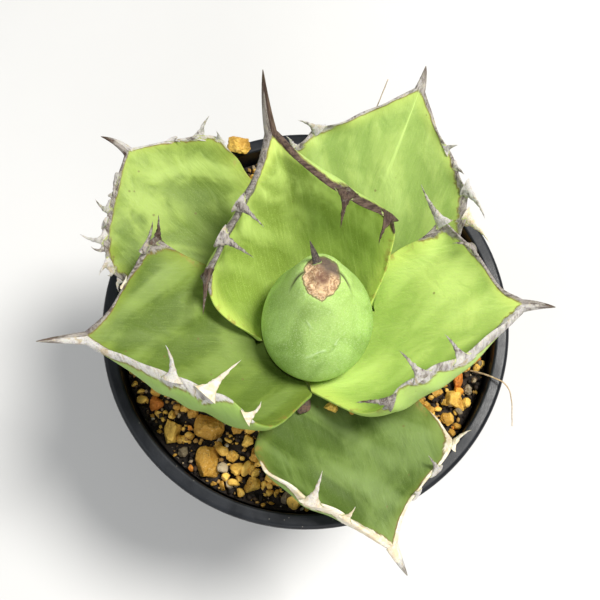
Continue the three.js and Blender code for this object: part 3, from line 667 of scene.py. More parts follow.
def pot_object():
    """The nursery pot: flat foot, tapered wall, outer band and rolled rim, with drain holes and grooves."""
    foot_round, rim_round, inner_round = 1.2, 1.4, 0.8
    band_foot = RIM_HEIGHT - BAND_HEIGHT
    wall_top = WALL_INSIDE + WALL
    inside_foot = BASE_RADIUS - WALL
    profile = straight((6, 0), (BASE_RADIUS - foot_round - 0.2, 0), 8)
    profile += arc((BASE_RADIUS - foot_round, foot_round), foot_round, -90, 0)
    profile += straight((BASE_RADIUS + 0.1, foot_round + 0.6), (wall_top - 0.1, band_foot - 1.9), 24)
    profile += arc((wall_top + 0.3, band_foot - 1.0), 0.5, 180, 115, 4)
    profile += arc((RIM_RADIUS - 1.1, band_foot + 0.3), 0.5, -70, 0, 5)
    rim_edge = RIM_HEIGHT - rim_round
    profile += straight((RIM_RADIUS - 0.55, band_foot + 0.8), (RIM_RADIUS - 0.05, rim_edge - 0.5), 8)
    profile += arc((RIM_RADIUS - rim_round, RIM_HEIGHT - rim_round), rim_round, 0, 90, 10)
    rim_top_inside = (WALL_INSIDE + inner_round + 0.3, RIM_HEIGHT)
    profile += straight((RIM_RADIUS - rim_round - 0.3, RIM_HEIGHT), rim_top_inside, 5)
    profile += arc((WALL_INSIDE + inner_round, RIM_HEIGHT - inner_round), inner_round, 90, 180)
    profile += straight((WALL_INSIDE, RIM_HEIGHT - inner_round - 0.6), (WALL_INSIDE, band_foot), 6)
    profile += straight((WALL_INSIDE - 0.3, band_foot - 1.5), (inside_foot, POT_FLOOR + 1.5), 24)
    profile += arc((inside_foot - 1.2, POT_FLOOR + 1.2), 1.2, 0, -90)
    profile += straight((inside_foot - 2, POT_FLOOR), (6, POT_FLOOR), 8)
    sides = 240
    points = skin_points(lathe_points(profile, sides))
    pot = mesh_object("nursery_pot", points, skin_faces(len(profile), sides))
    cutters = []
    for i in range(DRAIN_COUNT):
        angle = 2 * math.pi * i / DRAIN_COUNT
        drill = lathe_points([(DRAIN_RADIUS, -3), (DRAIN_RADIUS, 0), (DRAIN_RADIUS, 2 * POT_FLOOR)], 48)
        drill = drill + [DRAIN_CIRCLE * math.cos(angle), DRAIN_CIRCLE * math.sin(angle), 0]
        cutters.append(mesh_object("drill", skin_points(drill), skin_faces(3, 48)))
        cutters.append(groove_object(angle))
    for cutter in cutters:
        combine(pot, cutter, "DIFFERENCE")
    remove(cutters)
    shade_by_angle(pot, 40)
    return pot


def groove_object(angle):
    """A shallow round-topped channel under the floor, from a drain hole out to the pot's edge."""
    sides = 32
    turns = np.linspace(0, 2 * np.pi, sides, endpoint=False)
    section = np.stack([0 * turns, GROOVE_WIDTH / 2 * np.cos(turns), GROOVE_DEPTH * np.sin(turns)], -1)
    rings = np.stack([section + [reach, 0, 0] for reach in (DRAIN_CIRCLE, BASE_RADIUS, BASE_RADIUS + 20)])
    x = rings[..., 0] * math.cos(angle) - rings[..., 1] * math.sin(angle)
    y = rings[..., 0] * math.sin(angle) + rings[..., 1] * math.cos(angle)
    return mesh_object("groove", skin_points(np.stack([x, y, rings[..., 2]], -1)), skin_faces(3, sides))


def shade_by_angle(thing, degrees):
    """Smooth shading, with sharp edges where faces meet at more than that angle."""
    shape = bmesh.new()
    shape.from_mesh(thing.data)
    for edge in shape.edges:
        edge.smooth = len(edge.link_faces) == 2 and edge.calc_face_angle(0) < math.radians(degrees)
    for face in shape.faces:
        face.smooth = True
    shape.to_mesh(thing.data)
    shape.free()


# ---------------------------------------------------------------- soil and grains
def soil_object():
    """The soil: a closed body with a crumbly surface that shows between the stones."""
    flank = WALL_INSIDE - 0.35
    foot = BASE_RADIUS - WALL - 1.9
    low = POT_FLOOR + 0.4
    slope = (flank - foot) / (SOIL_EDGE - low)
    sides, rings = 360, 96
    angle = np.linspace(0, 2 * np.pi, sides, endpoint=False)[None, :]
    radius = np.linspace(flank - 0.25, 1.0, rings)[:, None]
    x, y = radius * np.cos(angle), radius * np.sin(angle)
    top = np.stack([x, y, soil_height(x, y)], -1)
    crumbs = 0.5 * lumps(top, 4.5, 2) + 0.45 * lumps(top, 1.9, 7) + 0.3 * lumps(top, 0.9, 11)
    top[..., 2] += crumbs * 1.3 - 0.5
    heights = np.linspace(low, SOIL_EDGE - 1.8, 20)
    side_radius = flank - slope * (SOIL_EDGE - heights) - 0.15
    wall = np.stack([side_radius[:, None] * np.cos(angle), side_radius[:, None] * np.sin(angle),
                     heights[:, None] + 0 * angle], -1)
    floor = np.stack([r * np.concatenate([np.cos(angle), np.sin(angle)]).T for r in (1, foot * 0.5, foot)])
    floor = np.concatenate([floor, np.full(floor.shape[:2] + (1,), low)], -1)
    grid = np.concatenate([floor, wall, top])
    return mesh_object("potting_soil", skin_points(grid), skin_faces(len(grid), sides))


def ball(detail):
    """Points and faces of an icosphere."""
    shape = bmesh.new()
    bmesh.ops.create_icosphere(shape, subdivisions=detail, radius=1)
    points = np.array([v.co for v in shape.verts])
    faces = np.array([[v.index for v in f.verts] for f in shape.faces])
    shape.free()
    return points, faces


BALLS = {detail: ball(detail) for detail in (1, 2, 3, 5)}


def broken(points, dice, cuts, depth):
    """Flatten a ball by random planes, as a broken grain is."""
    points = points.copy()
    for _ in range(cuts):
        way = unit(dice.normal(size=3))
        reach = dice.uniform(depth, 0.9)
        over = np.maximum(points @ way - reach, 0)
        points -= over[:, None] * way * 0.95
    return points


def turned(points, dice):
    """Turn points about the origin by a random rotation."""
    first = unit(dice.normal(size=3))
    second = unit(np.cross(first, dice.normal(size=3)))
    return points @ np.stack([first, second, np.cross(first, second)])


def stone_object(name, node, dice):
    """A grain in place of a CAD stone: cut by planes, lumpy, pitted and worn along its edges."""
    low, high = node_box(node)
    points, faces = BALLS[5]
    points = broken(points, dice, 13, 0.5)
    points = points * (1 + 0.2 * lumps(points, 0.9, dice.uniform(0, 50)))[:, None]
    points = points / np.abs(points).max(0) * (high - low) / 2
    seed = dice.uniform(0, 50)
    points = broken(points / np.abs(points).max(), dice, 8, 0.55) * np.abs(points).max()
    rough = 0.13 * lumps(points, 1.1, seed) + 0.09 * lumps(points, 0.45, seed)
    rough = rough + 0.05 * lumps(points, 0.2, seed)
    pits = np.minimum(lumps(points, 0.7, seed + 9) + 0.12, 0) * 0.55
    points = points + unit(points) * (rough + pits)[:, None]
    points = points / np.abs(points).max(0) * (high - low) / 2
    centre = (high + low) / 2
    return mesh_object(name, points + centre, faces, dict(shade=np.full(len(points), dice.uniform(0, 1))))


def covers():
    """A tree of all faces of the leaves and the stones, to keep scattered grains clear of them."""
    points, faces = [], []
    for thing in [*leaves.values(), bud, *stones]:
        base = len(points)
        points += [v.co / MM for v in thing.data.vertices]
        faces += [[base + i for i in face.vertices] for face in thing.data.polygons]
    return BVHTree.FromPolygons(points, faces)


def scatter(name, count, sizes, detail, seed, sink, tree):
    """Loose grains over the soil as one mesh, each broken and turned in its own way."""
    dice = np.random.default_rng(seed)
    points, faces, shades = [], [], []
    base_points, base_faces = BALLS[detail]
    start = 0
    for _ in range(count):
        radius = (WALL_INSIDE - 1.2) * math.sqrt(dice.uniform(0.02, 1))
        angle = dice.uniform(0, 2 * np.pi)
        size = sizes[0] + (sizes[1] - sizes[0]) * dice.uniform(0, 1) ** 2.2
        x, y = radius * math.cos(angle), radius * math.sin(angle)
        shade, lift = dice.uniform(0, 1), dice.uniform(0, 1)
        stretch = dice.uniform(0.6, 1.2, 3)
        shape = turned(broken(base_points, dice, 9, 0.4) * stretch, dice) * size / 1.7
        if radius + size / 2 > WALL_INSIDE - 0.5:
            continue
        z = float(soil_height(x, y)) + size * (0.5 - sink) + lift * 0.5 * size
        centre = Vector((x, y, z))
        near = tree.find_nearest(centre)
        if near[0] is None or near[3] < size * 0.46:
            continue
        if inside(tree, centre):
            continue
        points.append(shape + [x, y, z])
        faces.append(base_faces + start)
        shades.append(np.full(len(base_points), shade))
        start += len(base_points)
    attributes = dict(shade=np.concatenate(shades))
    return mesh_object(name, np.concatenate(points), np.concatenate(faces), attributes)


def inside(tree, point):
    """True if a point lies inside the leaves or stones: the nearest surface faces away from it."""
    hit = tree.find_nearest(point)
    return (point - hit[0]).dot(hit[1]) < 0


# ---------------------------------------------------------------- litter
STRAW_RADIUS = 0.24


def rod_object(name, path, radii, sides):
    """A round rod along points, with a radius for each point."""
    path = np.asarray(path, float)
    way = unit(np.gradient(path, axis=0))
    guide = np.array([0.31, 0.17, 0.93])
    across = unit(np.cross(way, guide))
    other = np.cross(way, across)
    angle = np.linspace(0, 2 * np.pi, sides, endpoint=False)[None, :, None]
    ring = across[:, None] * np.cos(angle) + other[:, None] * np.sin(angle)
    grid = path[:, None] + ring * np.asarray(radii)[:, None, None]
    return mesh_object(name, skin_points(grid), skin_faces(len(path), sides))


def polar(angle, radius):
    return radius * math.cos(math.radians(angle)), radius * math.sin(math.radians(angle))


def straw_object(name, stations):
    """A dead grass straw.

    Stations are (angle round the pot, distance out from the wall, height above the rim).
    """
    places = []
    for angle, out, rise in stations:
        x, y = polar(angle, WALL_INSIDE + out)
        places.append((x, y, RIM_HEIGHT + rise))
    places = np.array(places)
    u = np.linspace(0, len(places) - 1, 70)
    path = np.stack([smooth(np.arange(len(places)), places[:, axis], u) for axis in range(3)], -1)
    path = path + 0.12 * np.stack([lumps(path, 2.2, seed) for seed in (1, 5, 9)], -1)
    narrowing = STRAW_RADIUS * (0.75 + 0.25 * np.cos(np.linspace(0, 2.6, len(path))))
    taper = narrowing * (1 + 0.15 * lumps(path, 0.8, 3))
    return rod_object(name, path, taper, 12)


def chip_object(dice):
    """The flat splinter of bark beside the bud."""
    low, high = node_box("wood_chip")
    points, faces = BALLS[5]
    points = broken(points, dice, 7, 0.6)
    points = np.sign(points) * np.abs(points) ** 0.7
    points = points / np.abs(points).max(0) * (high - low) / 2
    points = points + [0.12, 0, 0.12] * lumps(points * [3, 0.5, 3], 1.0, 4)[:, None]
    points = points / np.abs(points).max(0) * (high - low) / 2
    return mesh_object("bark_chip", points + (high + low) / 2, faces)


# ---------------------------------------------------------------- materials
class Nodes:
    """Short calls to build one material's node tree."""

    def __init__(self, name):
        self.material = bpy.data.materials.new(name)
        self.material.use_nodes = True
        self.tree = self.material.node_tree
        self.tree.nodes.clear()
        self.output = self.tree.nodes.new("ShaderNodeOutputMaterial")
        self.shader = self.tree.nodes.new("ShaderNodeBsdfPrincipled")
        self.tree.links.new(self.shader.outputs[0], self.output.inputs["Surface"])

    def link(self, source, target):
        self.tree.links.new(source, target)

    def put(self, socket, value):
        """Feed a socket from another socket, or set it to a number or colour."""
        if isinstance(value, bpy.types.NodeSocket):
            self.link(value, socket)
        elif hasattr(socket.default_value, "__len__") and not hasattr(value, "__len__"):
            socket.default_value = [value] * len(socket.default_value)
        elif hasattr(value, "__len__") and len(value) == 3 and len(socket.default_value) == 4:
            socket.default_value = (*value, 1)
        else:
            socket.default_value = value

    def attribute(self, name, vector=False):
        node = self.tree.nodes.new("ShaderNodeAttribute")
        node.attribute_name = name
        return node.outputs["Vector" if vector else "Fac"]

    def place(self):
        return self.tree.nodes.new("ShaderNodeTexCoord").outputs["Object"]

    def stretch(self, vector, scale):
        node = self.tree.nodes.new("ShaderNodeMapping")
        self.link(vector, node.inputs["Vector"])
        node.inputs["Scale"].default_value = scale
        return node.outputs[0]

    def noise(self, vector, scale, detail=4.0, roughness=0.55, distortion=0.0):
        node = self.tree.nodes.new("ShaderNodeTexNoise")
        self.link(vector, node.inputs["Vector"])
        node.inputs["Scale"].default_value = scale
        node.inputs["Detail"].default_value = detail
        node.inputs["Roughness"].default_value = roughness
        node.inputs["Distortion"].default_value = distortion
        return node.outputs[0]

    def cells(self, vector, scale):
        node = self.tree.nodes.new("ShaderNodeTexVoronoi")
        self.link(vector, node.inputs["Vector"])
        node.inputs["Scale"].default_value = scale
        return node.outputs["Distance"]

    def ramp(self, value, low, high, from_=0.0, to=1.0):
        """Map a value from low..high to from_..to, with a smooth rise."""
        node = self.tree.nodes.new("ShaderNodeMapRange")
        node.interpolation_type = "SMOOTHSTEP"
        self.put(node.inputs["Value"], value)
        node.inputs["From Min"].default_value = low
        node.inputs["From Max"].default_value = high
        node.inputs["To Min"].default_value = from_
        node.inputs["To Max"].default_value = to
        return node.outputs[0]

    def maths(self, operation, first, second):
        node = self.tree.nodes.new("ShaderNodeMath")
        node.operation = operation
        self.put(node.inputs[0], first)
        self.put(node.inputs[1], second)
        return node.outputs[0]

    def mix(self, factor, first, second):
        node = self.tree.nodes.new("ShaderNodeMix")
        node.data_type = "RGBA"
        self.put(node.inputs["Factor"], factor)
        self.put(node.inputs[6], first)
        self.put(node.inputs[7], second)
        return node.outputs[2]

    def layers(self, colour, *tints):
        """Lay tints over a colour in turn. A tint is (value, low, high, strength, colour), as for ramp."""
        for value, low, high, strength, tint in tints:
            colour = self.mix(self.ramp(value, low, high, 0, strength), colour, tint)
        return colour

    def bump(self, height, strength, distance):
        node = self.tree.nodes.new("ShaderNodeBump")
        node.inputs["Strength"].default_value = strength
        node.inputs["Distance"].default_value = distance
        self.link(height, node.inputs["Height"])
        return node.outputs[0]

    def finish(self, colour, roughness, normal=None, **constants):
        self.put(self.shader.inputs["Base Color"], colour)
        self.put(self.shader.inputs["Roughness"], roughness)
        if normal is not None:
            self.link(normal, self.shader.inputs["Normal"])
        for name, value in constants.items():
            self.put(self.shader.inputs[name.replace("_", " ")], value)
        return self.material


# How far light spreads under the waxy skin, for red, green and blue.
WAX_RADIUS = (0.004, 0.006, 0.0015)
WAX_SCALE = 0.4


def horn_colour(n, places, tone):
    """Dry horn: cream to grey-white, speckled with brown and black, dark brown where tone is high."""
    fibre = n.noise(n.stretch(places, (1.0, 0.16, 1.0)), 1.2, 6, 0.7, 0.5)
    blotch = n.noise(places, 0.42, 4, 0.6, 0.5)
    speck = n.noise(places, 3.1, 4, 0.7)
    pale = n.mix(n.ramp(blotch, 0.3, 0.5), (0.4, 0.33, 0.23), (0.52, 0.5, 0.47))
    pale = n.layers(
        pale,
        (fibre, 0.54, 0.72, 0.8, (0.2, 0.16, 0.12)),
        (speck, 0.56, 0.66, 0.7, (0.22, 0.19, 0.16)),
        (speck, 0.4, 0.3, 0.6, (0.72, 0.71, 0.69)),
    )
    grey = n.mix(n.ramp(fibre, 0.4, 0.64), (0.31, 0.28, 0.25), (0.09, 0.07, 0.058))
    grey = n.layers(grey, (speck, 0.57, 0.68, 0.7, (0.5, 0.48, 0.45)))
    dark = n.mix(n.ramp(fibre, 0.4, 0.62), (0.04, 0.024, 0.018), (0.12, 0.08, 0.058))
    dark = n.layers(dark, (speck, 0.62, 0.72, 0.5, (0.3, 0.26, 0.23)))
    cream = n.mix(n.ramp(blotch, 0.4, 0.6), (0.66, 0.55, 0.38), (0.76, 0.7, 0.58))
    cream = n.layers(cream, (fibre, 0.5, 0.75, 0.6, (0.45, 0.32, 0.18)))
    pale = n.layers(pale, (tone, 0.19, 0.09, 1, cream))
    how_dark = n.maths("ADD", tone, n.maths("MULTIPLY", n.maths("SUBTRACT", blotch, 0.5), 1.1))
    colour = n.mix(n.ramp(how_dark, 0.22, 0.48), pale, grey)
    return n.mix(n.ramp(how_dark, 0.6, 0.88), colour, dark)


def leaf_material(name, bright, deep, shade, foot=0.2, crest=0.0):
    """Waxy leaf skin with mottled clouds, a pale keel and edges, the horny margin and teeth, painted
    highlight and shade along its folds and painted shade toward its foot.

    shade: how much of the skin has the deep colour rather than the bright one, from 0 to 1.
    foot: strength of the painted shade that deepens the skin toward the leaf's foot. crest: strength of a
    fine pale midrib.
    """
    n = Nodes(name)
    grain = n.attribute("grain", vector=True)
    horn = n.attribute("horn")
    margin = n.attribute("margin")
    reach = n.attribute("reach")
    middle = n.attribute("middle")
    under = n.attribute("under")
    cloud = n.noise(grain, 0.06, 3, 0.5, 0.8)
    patch = n.noise(n.stretch(grain, (1.0, 0.45, 1.0)), 0.16, 4, 0.5, 1.4)
    wisp = n.noise(n.stretch(grain, (1.0, 0.28, 1.0)), 0.5, 6, 0.66, 1.8)
    vein = n.noise(n.stretch(grain, (1.0, 0.04, 1.0)), 2.0, 3, 0.6)
    fine = n.noise(grain, 2.2, 5, 0.7)
    pale = tuple(1.22 * c + 0.035 for c in bright)
    blend = n.maths("ADD", n.maths("MULTIPLY", cloud, 0.6), n.maths("MULTIPLY", patch, 0.4))
    half = 0.43 + 0.14 * shade
    colour = n.mix(n.ramp(blend, half + 0.14, half - 0.14), bright, deep)
    colour = n.layers(
        colour,
        (wisp, 0.52, 0.72, 0.26, pale),
        (wisp, 0.46, 0.28, 0.26, deep),
    )
    # Painted highlight on the ridges of the folds and painted shade in their valleys.
    fold_shading = n.attribute("fold_shading")
    colour = n.layers(
        colour,
        (fold_shading, 0.03, 0.4, 0.5, pale),
        (fold_shading, -0.03, -0.35, 0.75, deep),
        # painted shade, deepening the skin toward the leaf's foot among the other leaves and the bud
        (reach, 0.75, 0.3, foot, deep),
    )
    stipple = n.noise(grain, 4.5, 3, 0.6)
    colour = n.layers(
        colour,
        (stipple, 0.56, 0.68, 0.3, pale),
        (vein, 0.5, 0.75, 0.14, pale),
    )
    keel = n.maths("MULTIPLY", n.ramp(middle, 0.12, 0.0), n.ramp(reach, 0.25, 0.95, 0.1, 0.18))
    colour = n.mix(keel, colour, pale)
    yellow = (bright[0] * 1.25, bright[1] * 1.15, bright[2])
    colour = n.layers(colour, (margin, 6.5, 0.8, 0.55, yellow))
    tan_patch = n.ramp(n.noise(grain, 0.3, 4, 0.6), 0.5, 0.66, 0, 0.6)
    tan = n.maths("MULTIPLY", n.ramp(margin, 2.6, 0.4), tan_patch)
    colour = n.mix(tan, colour, (0.33, 0.19, 0.055))
    midrib_line = n.maths("MULTIPLY", n.ramp(middle, 0.03, 0.006, 0, crest), n.ramp(reach, 0.5, 0.85))
    colour = n.mix(midrib_line, colour, tuple(min(1, 1.35 * c) for c in pale))
    colour = n.layers(colour, (fine, 0.6, 0.76, 0.22, pale))
    colour = n.mix(n.maths("MULTIPLY", under, 0.6), colour, (0.3, 0.46, 0.12))
    spots = n.cells(grain, 0.14)
    colour = n.layers(colour, (spots, 0.07, 0.035, 0.6, (0.16, 0.12, 0.04)))
    colour = n.mix(n.maths("MULTIPLY", n.attribute("rim"), 0.8), colour, (0.15, 0.065, 0.02))
    colour = n.mix(horn, colour, horn_colour(n, grain, n.attribute("tone")))
    roughness = n.mix(horn, n.ramp(fine, 0.3, 0.7, 0.44, 0.6), n.ramp(fine, 0.3, 0.7, 0.6, 0.85))
    relief = n.maths("ADD", n.maths("MULTIPLY", wisp, 0.7), n.maths("MULTIPLY", patch, 2.2))
    crust = n.noise(grain, 1.3, 6, 0.7)
    height = n.mix(horn, relief, n.maths("MULTIPLY", crust, 2.6))
    normal = n.bump(height, 0.4, 0.0005)
    return n.finish(
        colour, roughness, normal,
        Specular_IOR_Level=0.18, Subsurface_Weight=0.12,
        Subsurface_Radius=WAX_RADIUS, Subsurface_Scale=WAX_SCALE,
    )


def bud_material():
    """Fresh green waxy skin with the tan scar, its dark heart and cap, and dark seams, with painted shade
    toward its foot and a painted highlight toward its top.
    """
    n = Nodes("bud_skin")
    places = n.attribute("grain", vector=True)
    reach = n.attribute("reach")
    scar = n.attribute("scar")
    cap = n.attribute("cap")
    cloud = n.noise(n.stretch(places, (1, 1, 0.45)), 0.09, 4, 0.55, 0.9)
    fine = n.noise(places, 1.7, 5, 0.7)
    wisp = n.noise(n.stretch(places, (1, 1, 0.4)), 0.35, 6, 0.66, 1.8)
    stipple = n.noise(places, 2.6, 4, 0.7)
    mark = n.noise(n.stretch(places, (0.6, 0.6, 1.4)), 0.16, 5, 0.6, 2.5)
    colour = n.mix(n.ramp(cloud, 0.36, 0.62), (0.25, 0.4, 0.085), (0.4, 0.6, 0.16))
    colour = n.layers(
        colour,
        (wisp, 0.53, 0.74, 0.4, (0.52, 0.7, 0.3)),
        (stipple, 0.52, 0.62, 0.5, (0.62, 0.78, 0.4)),
        (stipple, 0.46, 0.36, 0.35, (0.2, 0.35, 0.07)),
        (mark, 0.63, 0.72, 0.45, (0.62, 0.78, 0.42)),
        (mark, 0.34, 0.26, 0.4, (0.2, 0.34, 0.06)),
        (fine, 0.42, 0.3, 0.35, (0.19, 0.36, 0.07)),
        # painted shade darkening the bud toward its foot among the leaves, then a painted highlight
        # lightening its top
        (reach, 0.35, 0.1, 0.5, (0.3, 0.44, 0.09)),
        (reach, 0.5, 0.85, 0.2, (0.6, 0.8, 0.24)),
    )
    imprint = n.attribute("imprint")
    colour = n.layers(
        colour,
        (imprint, 0.1, 0.9, 0.4, (0.66, 0.82, 0.48)),
        (imprint, -0.1, -0.9, 0.35, (0.17, 0.29, 0.05)),
    )
    colour = n.mix(n.maths("MULTIPLY", n.attribute("seam"), 0.9), colour, (0.05, 0.035, 0.02))
    crust = n.noise(n.stretch(places, (1, 1, 0.6)), 0.6, 6, 0.7, 0.8)
    dry = n.mix(n.ramp(crust, 0.4, 0.58), (0.3, 0.17, 0.085), (0.72, 0.5, 0.28))
    dry = n.layers(
        dry,
        (fine, 0.5, 0.66, 0.6, (0.85, 0.68, 0.46)),
        (fine, 0.42, 0.3, 0.5, (0.16, 0.09, 0.05)),
    )
    heart = n.maths("MULTIPLY", n.attribute("core"), n.ramp(crust, 0.36, 0.5, 0.55, 1.0))
    dry = n.mix(heart, dry, (0.13, 0.06, 0.04))
    dry = n.mix(n.maths("MULTIPLY", cap, n.ramp(crust, 0.35, 0.55, 0.75, 1.0)), dry, (0.11, 0.08, 0.06))
    colour = n.mix(scar, colour, dry)
    edge = n.maths("MULTIPLY", n.ramp(scar, 0.05, 0.5), n.ramp(scar, 0.95, 0.5))
    colour = n.mix(n.maths("MULTIPLY", edge, 0.8), colour, (0.09, 0.06, 0.025))
    thorn = n.mix(n.ramp(fine, 0.4, 0.65), (0.03, 0.023, 0.02), (0.12, 0.095, 0.075))
    colour = n.mix(n.attribute("horn"), colour, thorn)
    roughness = n.mix(scar, n.ramp(fine, 0.3, 0.7, 0.45, 0.6), n.ramp(fine, 0.3, 0.7, 0.7, 0.9))
    skin = n.maths("ADD", n.maths("MULTIPLY", wisp, 0.7), n.maths("MULTIPLY", cloud, 1.5))
    relief = n.mix(scar, skin, n.maths("MULTIPLY", crust, 2.8))
    return n.finish(
        colour, roughness, n.bump(relief, 0.45, 0.0005),
        Specular_IOR_Level=0.3, Subsurface_Weight=0.1,
        Subsurface_Radius=WAX_RADIUS, Subsurface_Scale=WAX_SCALE,
    )


def pot_material():
    """Black moulded plastic with fine scratches and pale dust on the rim."""
    n = Nodes("black_plastic")
    places = n.place()
    stipple = n.noise(places, 2600, 3, 0.6)
    smear = n.noise(places, 70, 5, 0.6, 0.6)
    scratch = n.noise(n.stretch(places, (1, 1, 0.05)), 900, 4, 0.7, 2.0)
    dust = n.noise(places, 520, 5, 0.75)
    specks = n.cells(places, 420)
    colour = n.mix(n.ramp(smear, 0.35, 0.7), (0.005, 0.006, 0.008), (0.012, 0.014, 0.018))
    colour = n.layers(
        colour,
        (scratch, 0.62, 0.75, 0.25, (0.06, 0.065, 0.075)),
        (dust, 0.62, 0.8, 0.22, (0.18, 0.165, 0.14)),
        (specks, 0.075, 0.03, 0.5, (0.38, 0.35, 0.3)),
    )
    roughness = n.ramp(smear, 0.3, 0.75, 0.3, 0.52)
    height = n.maths("ADD", n.maths("MULTIPLY", stipple, 0.35), n.maths("MULTIPLY", scratch, 0.7))
    return n.finish(colour, roughness, n.bump(height, 0.25, 0.00025), Specular_IOR_Level=0.25)


def soil_material():
    """Dark damp humus with paler fibres and mineral specks."""
    n = Nodes("dark_soil")
    places = n.place()
    clod = n.noise(places, 260, 6, 0.75)
    fine = n.noise(places, 1500, 5, 0.75)
    colour = n.mix(n.ramp(clod, 0.35, 0.68), (0.01, 0.007, 0.005), (0.04, 0.026, 0.018))
    colour = n.layers(colour, (fine, 0.6, 0.78, 0.7, (0.17, 0.12, 0.08)))
    bright = n.ramp(n.noise(places, 1100, 2, 0.5), 0.66, 0.72, 0, 0.6)
    colour = n.mix(bright, colour, (0.36, 0.3, 0.22))
    height = n.maths("ADD", clod, n.maths("MULTIPLY", fine, 0.6))
    return n.finish(colour, n.ramp(fine, 0.3, 0.7, 0.75, 0.98), n.bump(height, 0.8, 0.0009))


def grain_material(name, dark, light, pale, dirt):
    """A rough mineral grain: two tones, pale specks on its high spots that are part chalky speckle and part
    painted highlight, darker pits and patches of soil.
    """
    n = Nodes(name)
    places = n.place()
    shade = n.attribute("shade")
    patch = n.noise(places, 190, 5, 0.65, 0.4)
    fine = n.noise(places, 1300, 6, 0.75)
    pits = n.noise(places, 620, 4, 0.7)
    tint = n.maths("ADD", n.maths("MULTIPLY", n.maths("SUBTRACT", shade, 0.5), 0.35), patch)
    colour = n.mix(n.ramp(tint, 0.36, 0.64), dark, light)
    colour = n.layers(
        colour,
        # pale specks on the bump's high spots, part chalky speckle and part painted highlight; then darker
        # pits and patches of soil
        (fine, 0.55, 0.72, 0.65, pale),
        (pits, 0.42, 0.3, 0.75, tuple(0.32 * c for c in dark)),
        (n.noise(places, 420, 5, 0.7), 0.6, 0.7, dirt, (0.06, 0.04, 0.025)),
    )
    height = n.maths("ADD", n.maths("MULTIPLY", fine, 0.7), pits)
    return n.finish(colour, n.ramp(fine, 0.3, 0.7, 0.45, 0.8), n.bump(height, 0.8, 0.0007))


def fines_material():
    """Crumbs of the mix: each one dark humus, brown clay or pale grit by its own shade."""
    n = Nodes("soil_crumbs")
    places = n.place()
    shade = n.attribute("shade")
    fine = n.noise(places, 1500, 5, 0.75)
    colour = n.mix(n.ramp(shade, 0.45, 0.7), (0.014, 0.009, 0.006), (0.07, 0.04, 0.02))
    colour = n.layers(
        colour,
        (shade, 0.68, 0.74, 1, (0.42, 0.24, 0.06)),
        (shade, 0.9, 0.92, 1, (0.4, 0.3, 0.18)),
        (shade, 0.97, 0.98, 1, (0.6, 0.55, 0.45)),
    )
    colour = n.mix(n.ramp(fine, 0.55, 0.72, 0, 0.35), colour, n.mix(0.5, colour, (0.3, 0.23, 0.15)))
    return n.finish(colour, 0.9, n.bump(fine, 0.6, 0.0004))


def fibre_material(name, dark, light):
    """Dry plant fibre: straws, roots and bark."""
    n = Nodes(name)
    places = n.place()
    fibre = n.noise(places, 900, 5, 0.7, 0.8)
    patch = n.noise(places, 150, 4, 0.6)
    colour = n.mix(n.ramp(fibre, 0.35, 0.68), dark, light)
    colour = n.layers(colour, (patch, 0.55, 0.7, 0.5, dark))
    return n.finish(colour, n.ramp(fibre, 0.3, 0.7, 0.6, 0.85), n.bump(fibre, 0.5, 0.0003))


def floor_material():
    n = Nodes("pale_floor")
    mottle = n.noise(n.place(), 6, 4, 0.6)
    colour = n.mix(mottle, (0.6, 0.595, 0.585), (0.66, 0.655, 0.645))
    return n.finish(colour, 0.8, Specular_IOR_Level=0.2)


# ---------------------------------------------------------------- assembly
def give(thing, material, slot, *nodes):
    """Finish a piece: its material, what it stands for, and the body it rides on. The slot argument is not
    used.
    """
    thing.data.materials.clear()
    thing.data.materials.append(material)
    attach(thing, "root")
    if nodes:
        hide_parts(*nodes)
    return thing


bud = bud_object()
thorn = bud_thorn_object()
combine(bud, thorn, "UNION")
remove([thorn])
give(bud, bud_material(), "bud", "bud")
bud.name = "closed_bud"

grown_bud = bud_object(grow=CLEARANCE)
cutters = [grown_bud]
leaves = {}
# For each leaf: bright colour, deep colour, share of deep colour, then foot and crest. leaf_left and
# leaf_front are darkened as painted shade, for the shadow that the leaves and the bud above cast on them, on
# top of their own deeper colour, and leaf_inner_back has strong painted shade toward its foot beside the bud.
LEAF_COLOURS_AND_SHADE = dict(
    leaf_inner_back=((0.54, 0.69, 0.18), (0.21, 0.3, 0.045), 0.35, 0.85),
    leaf_right=((0.47, 0.61, 0.15), (0.32, 0.46, 0.095), 0.35),
    leaf_left=((0.18, 0.255, 0.045), (0.09, 0.14, 0.02), 0.5),
    leaf_back_right=((0.36, 0.48, 0.125), (0.22, 0.33, 0.07), 0.4, 0.5, 0.4),
    leaf_back_left=((0.29, 0.39, 0.08), (0.12, 0.185, 0.025), 0.5),
    leaf_front=((0.155, 0.225, 0.055), (0.06, 0.1, 0.014), 0.45),
)
for index, leaf in enumerate(LEAVES):
    rib = midrib(leaf)
    piece = blade_object(leaf, rib, index)
    for tooth in leaf["teeth"]:
        part = tooth_object(leaf, rib, tooth, index)
        combine(piece, part, "UNION")
        remove([part])
    for cutter in cutters:
        combine(piece, cutter, "DIFFERENCE")
    keep_largest(piece)
    cutters.append(blade_object(leaf, rib, index, grow=CLEARANCE, rings=90, spine_rings=20, across=96))
    shade_by_angle(piece, 60)
    piece.name = leaf["name"].replace("leaf", "toothed_leaf")
    material = leaf_material(piece.name + "_skin", *LEAF_COLOURS_AND_SHADE[leaf["name"]])
    leaves[leaf["name"]] = give(piece, material, "leaf", leaf["name"])
remove(cutters)

give(pot_object(), pot_material(), "pot", "pot")
give(soil_object(), soil_material(), "soil", "soil")
give(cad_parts["stem_and_roots"], fibre_material("root_fibre", (0.3, 0.2, 0.11), (0.6, 0.47, 0.3)), None)

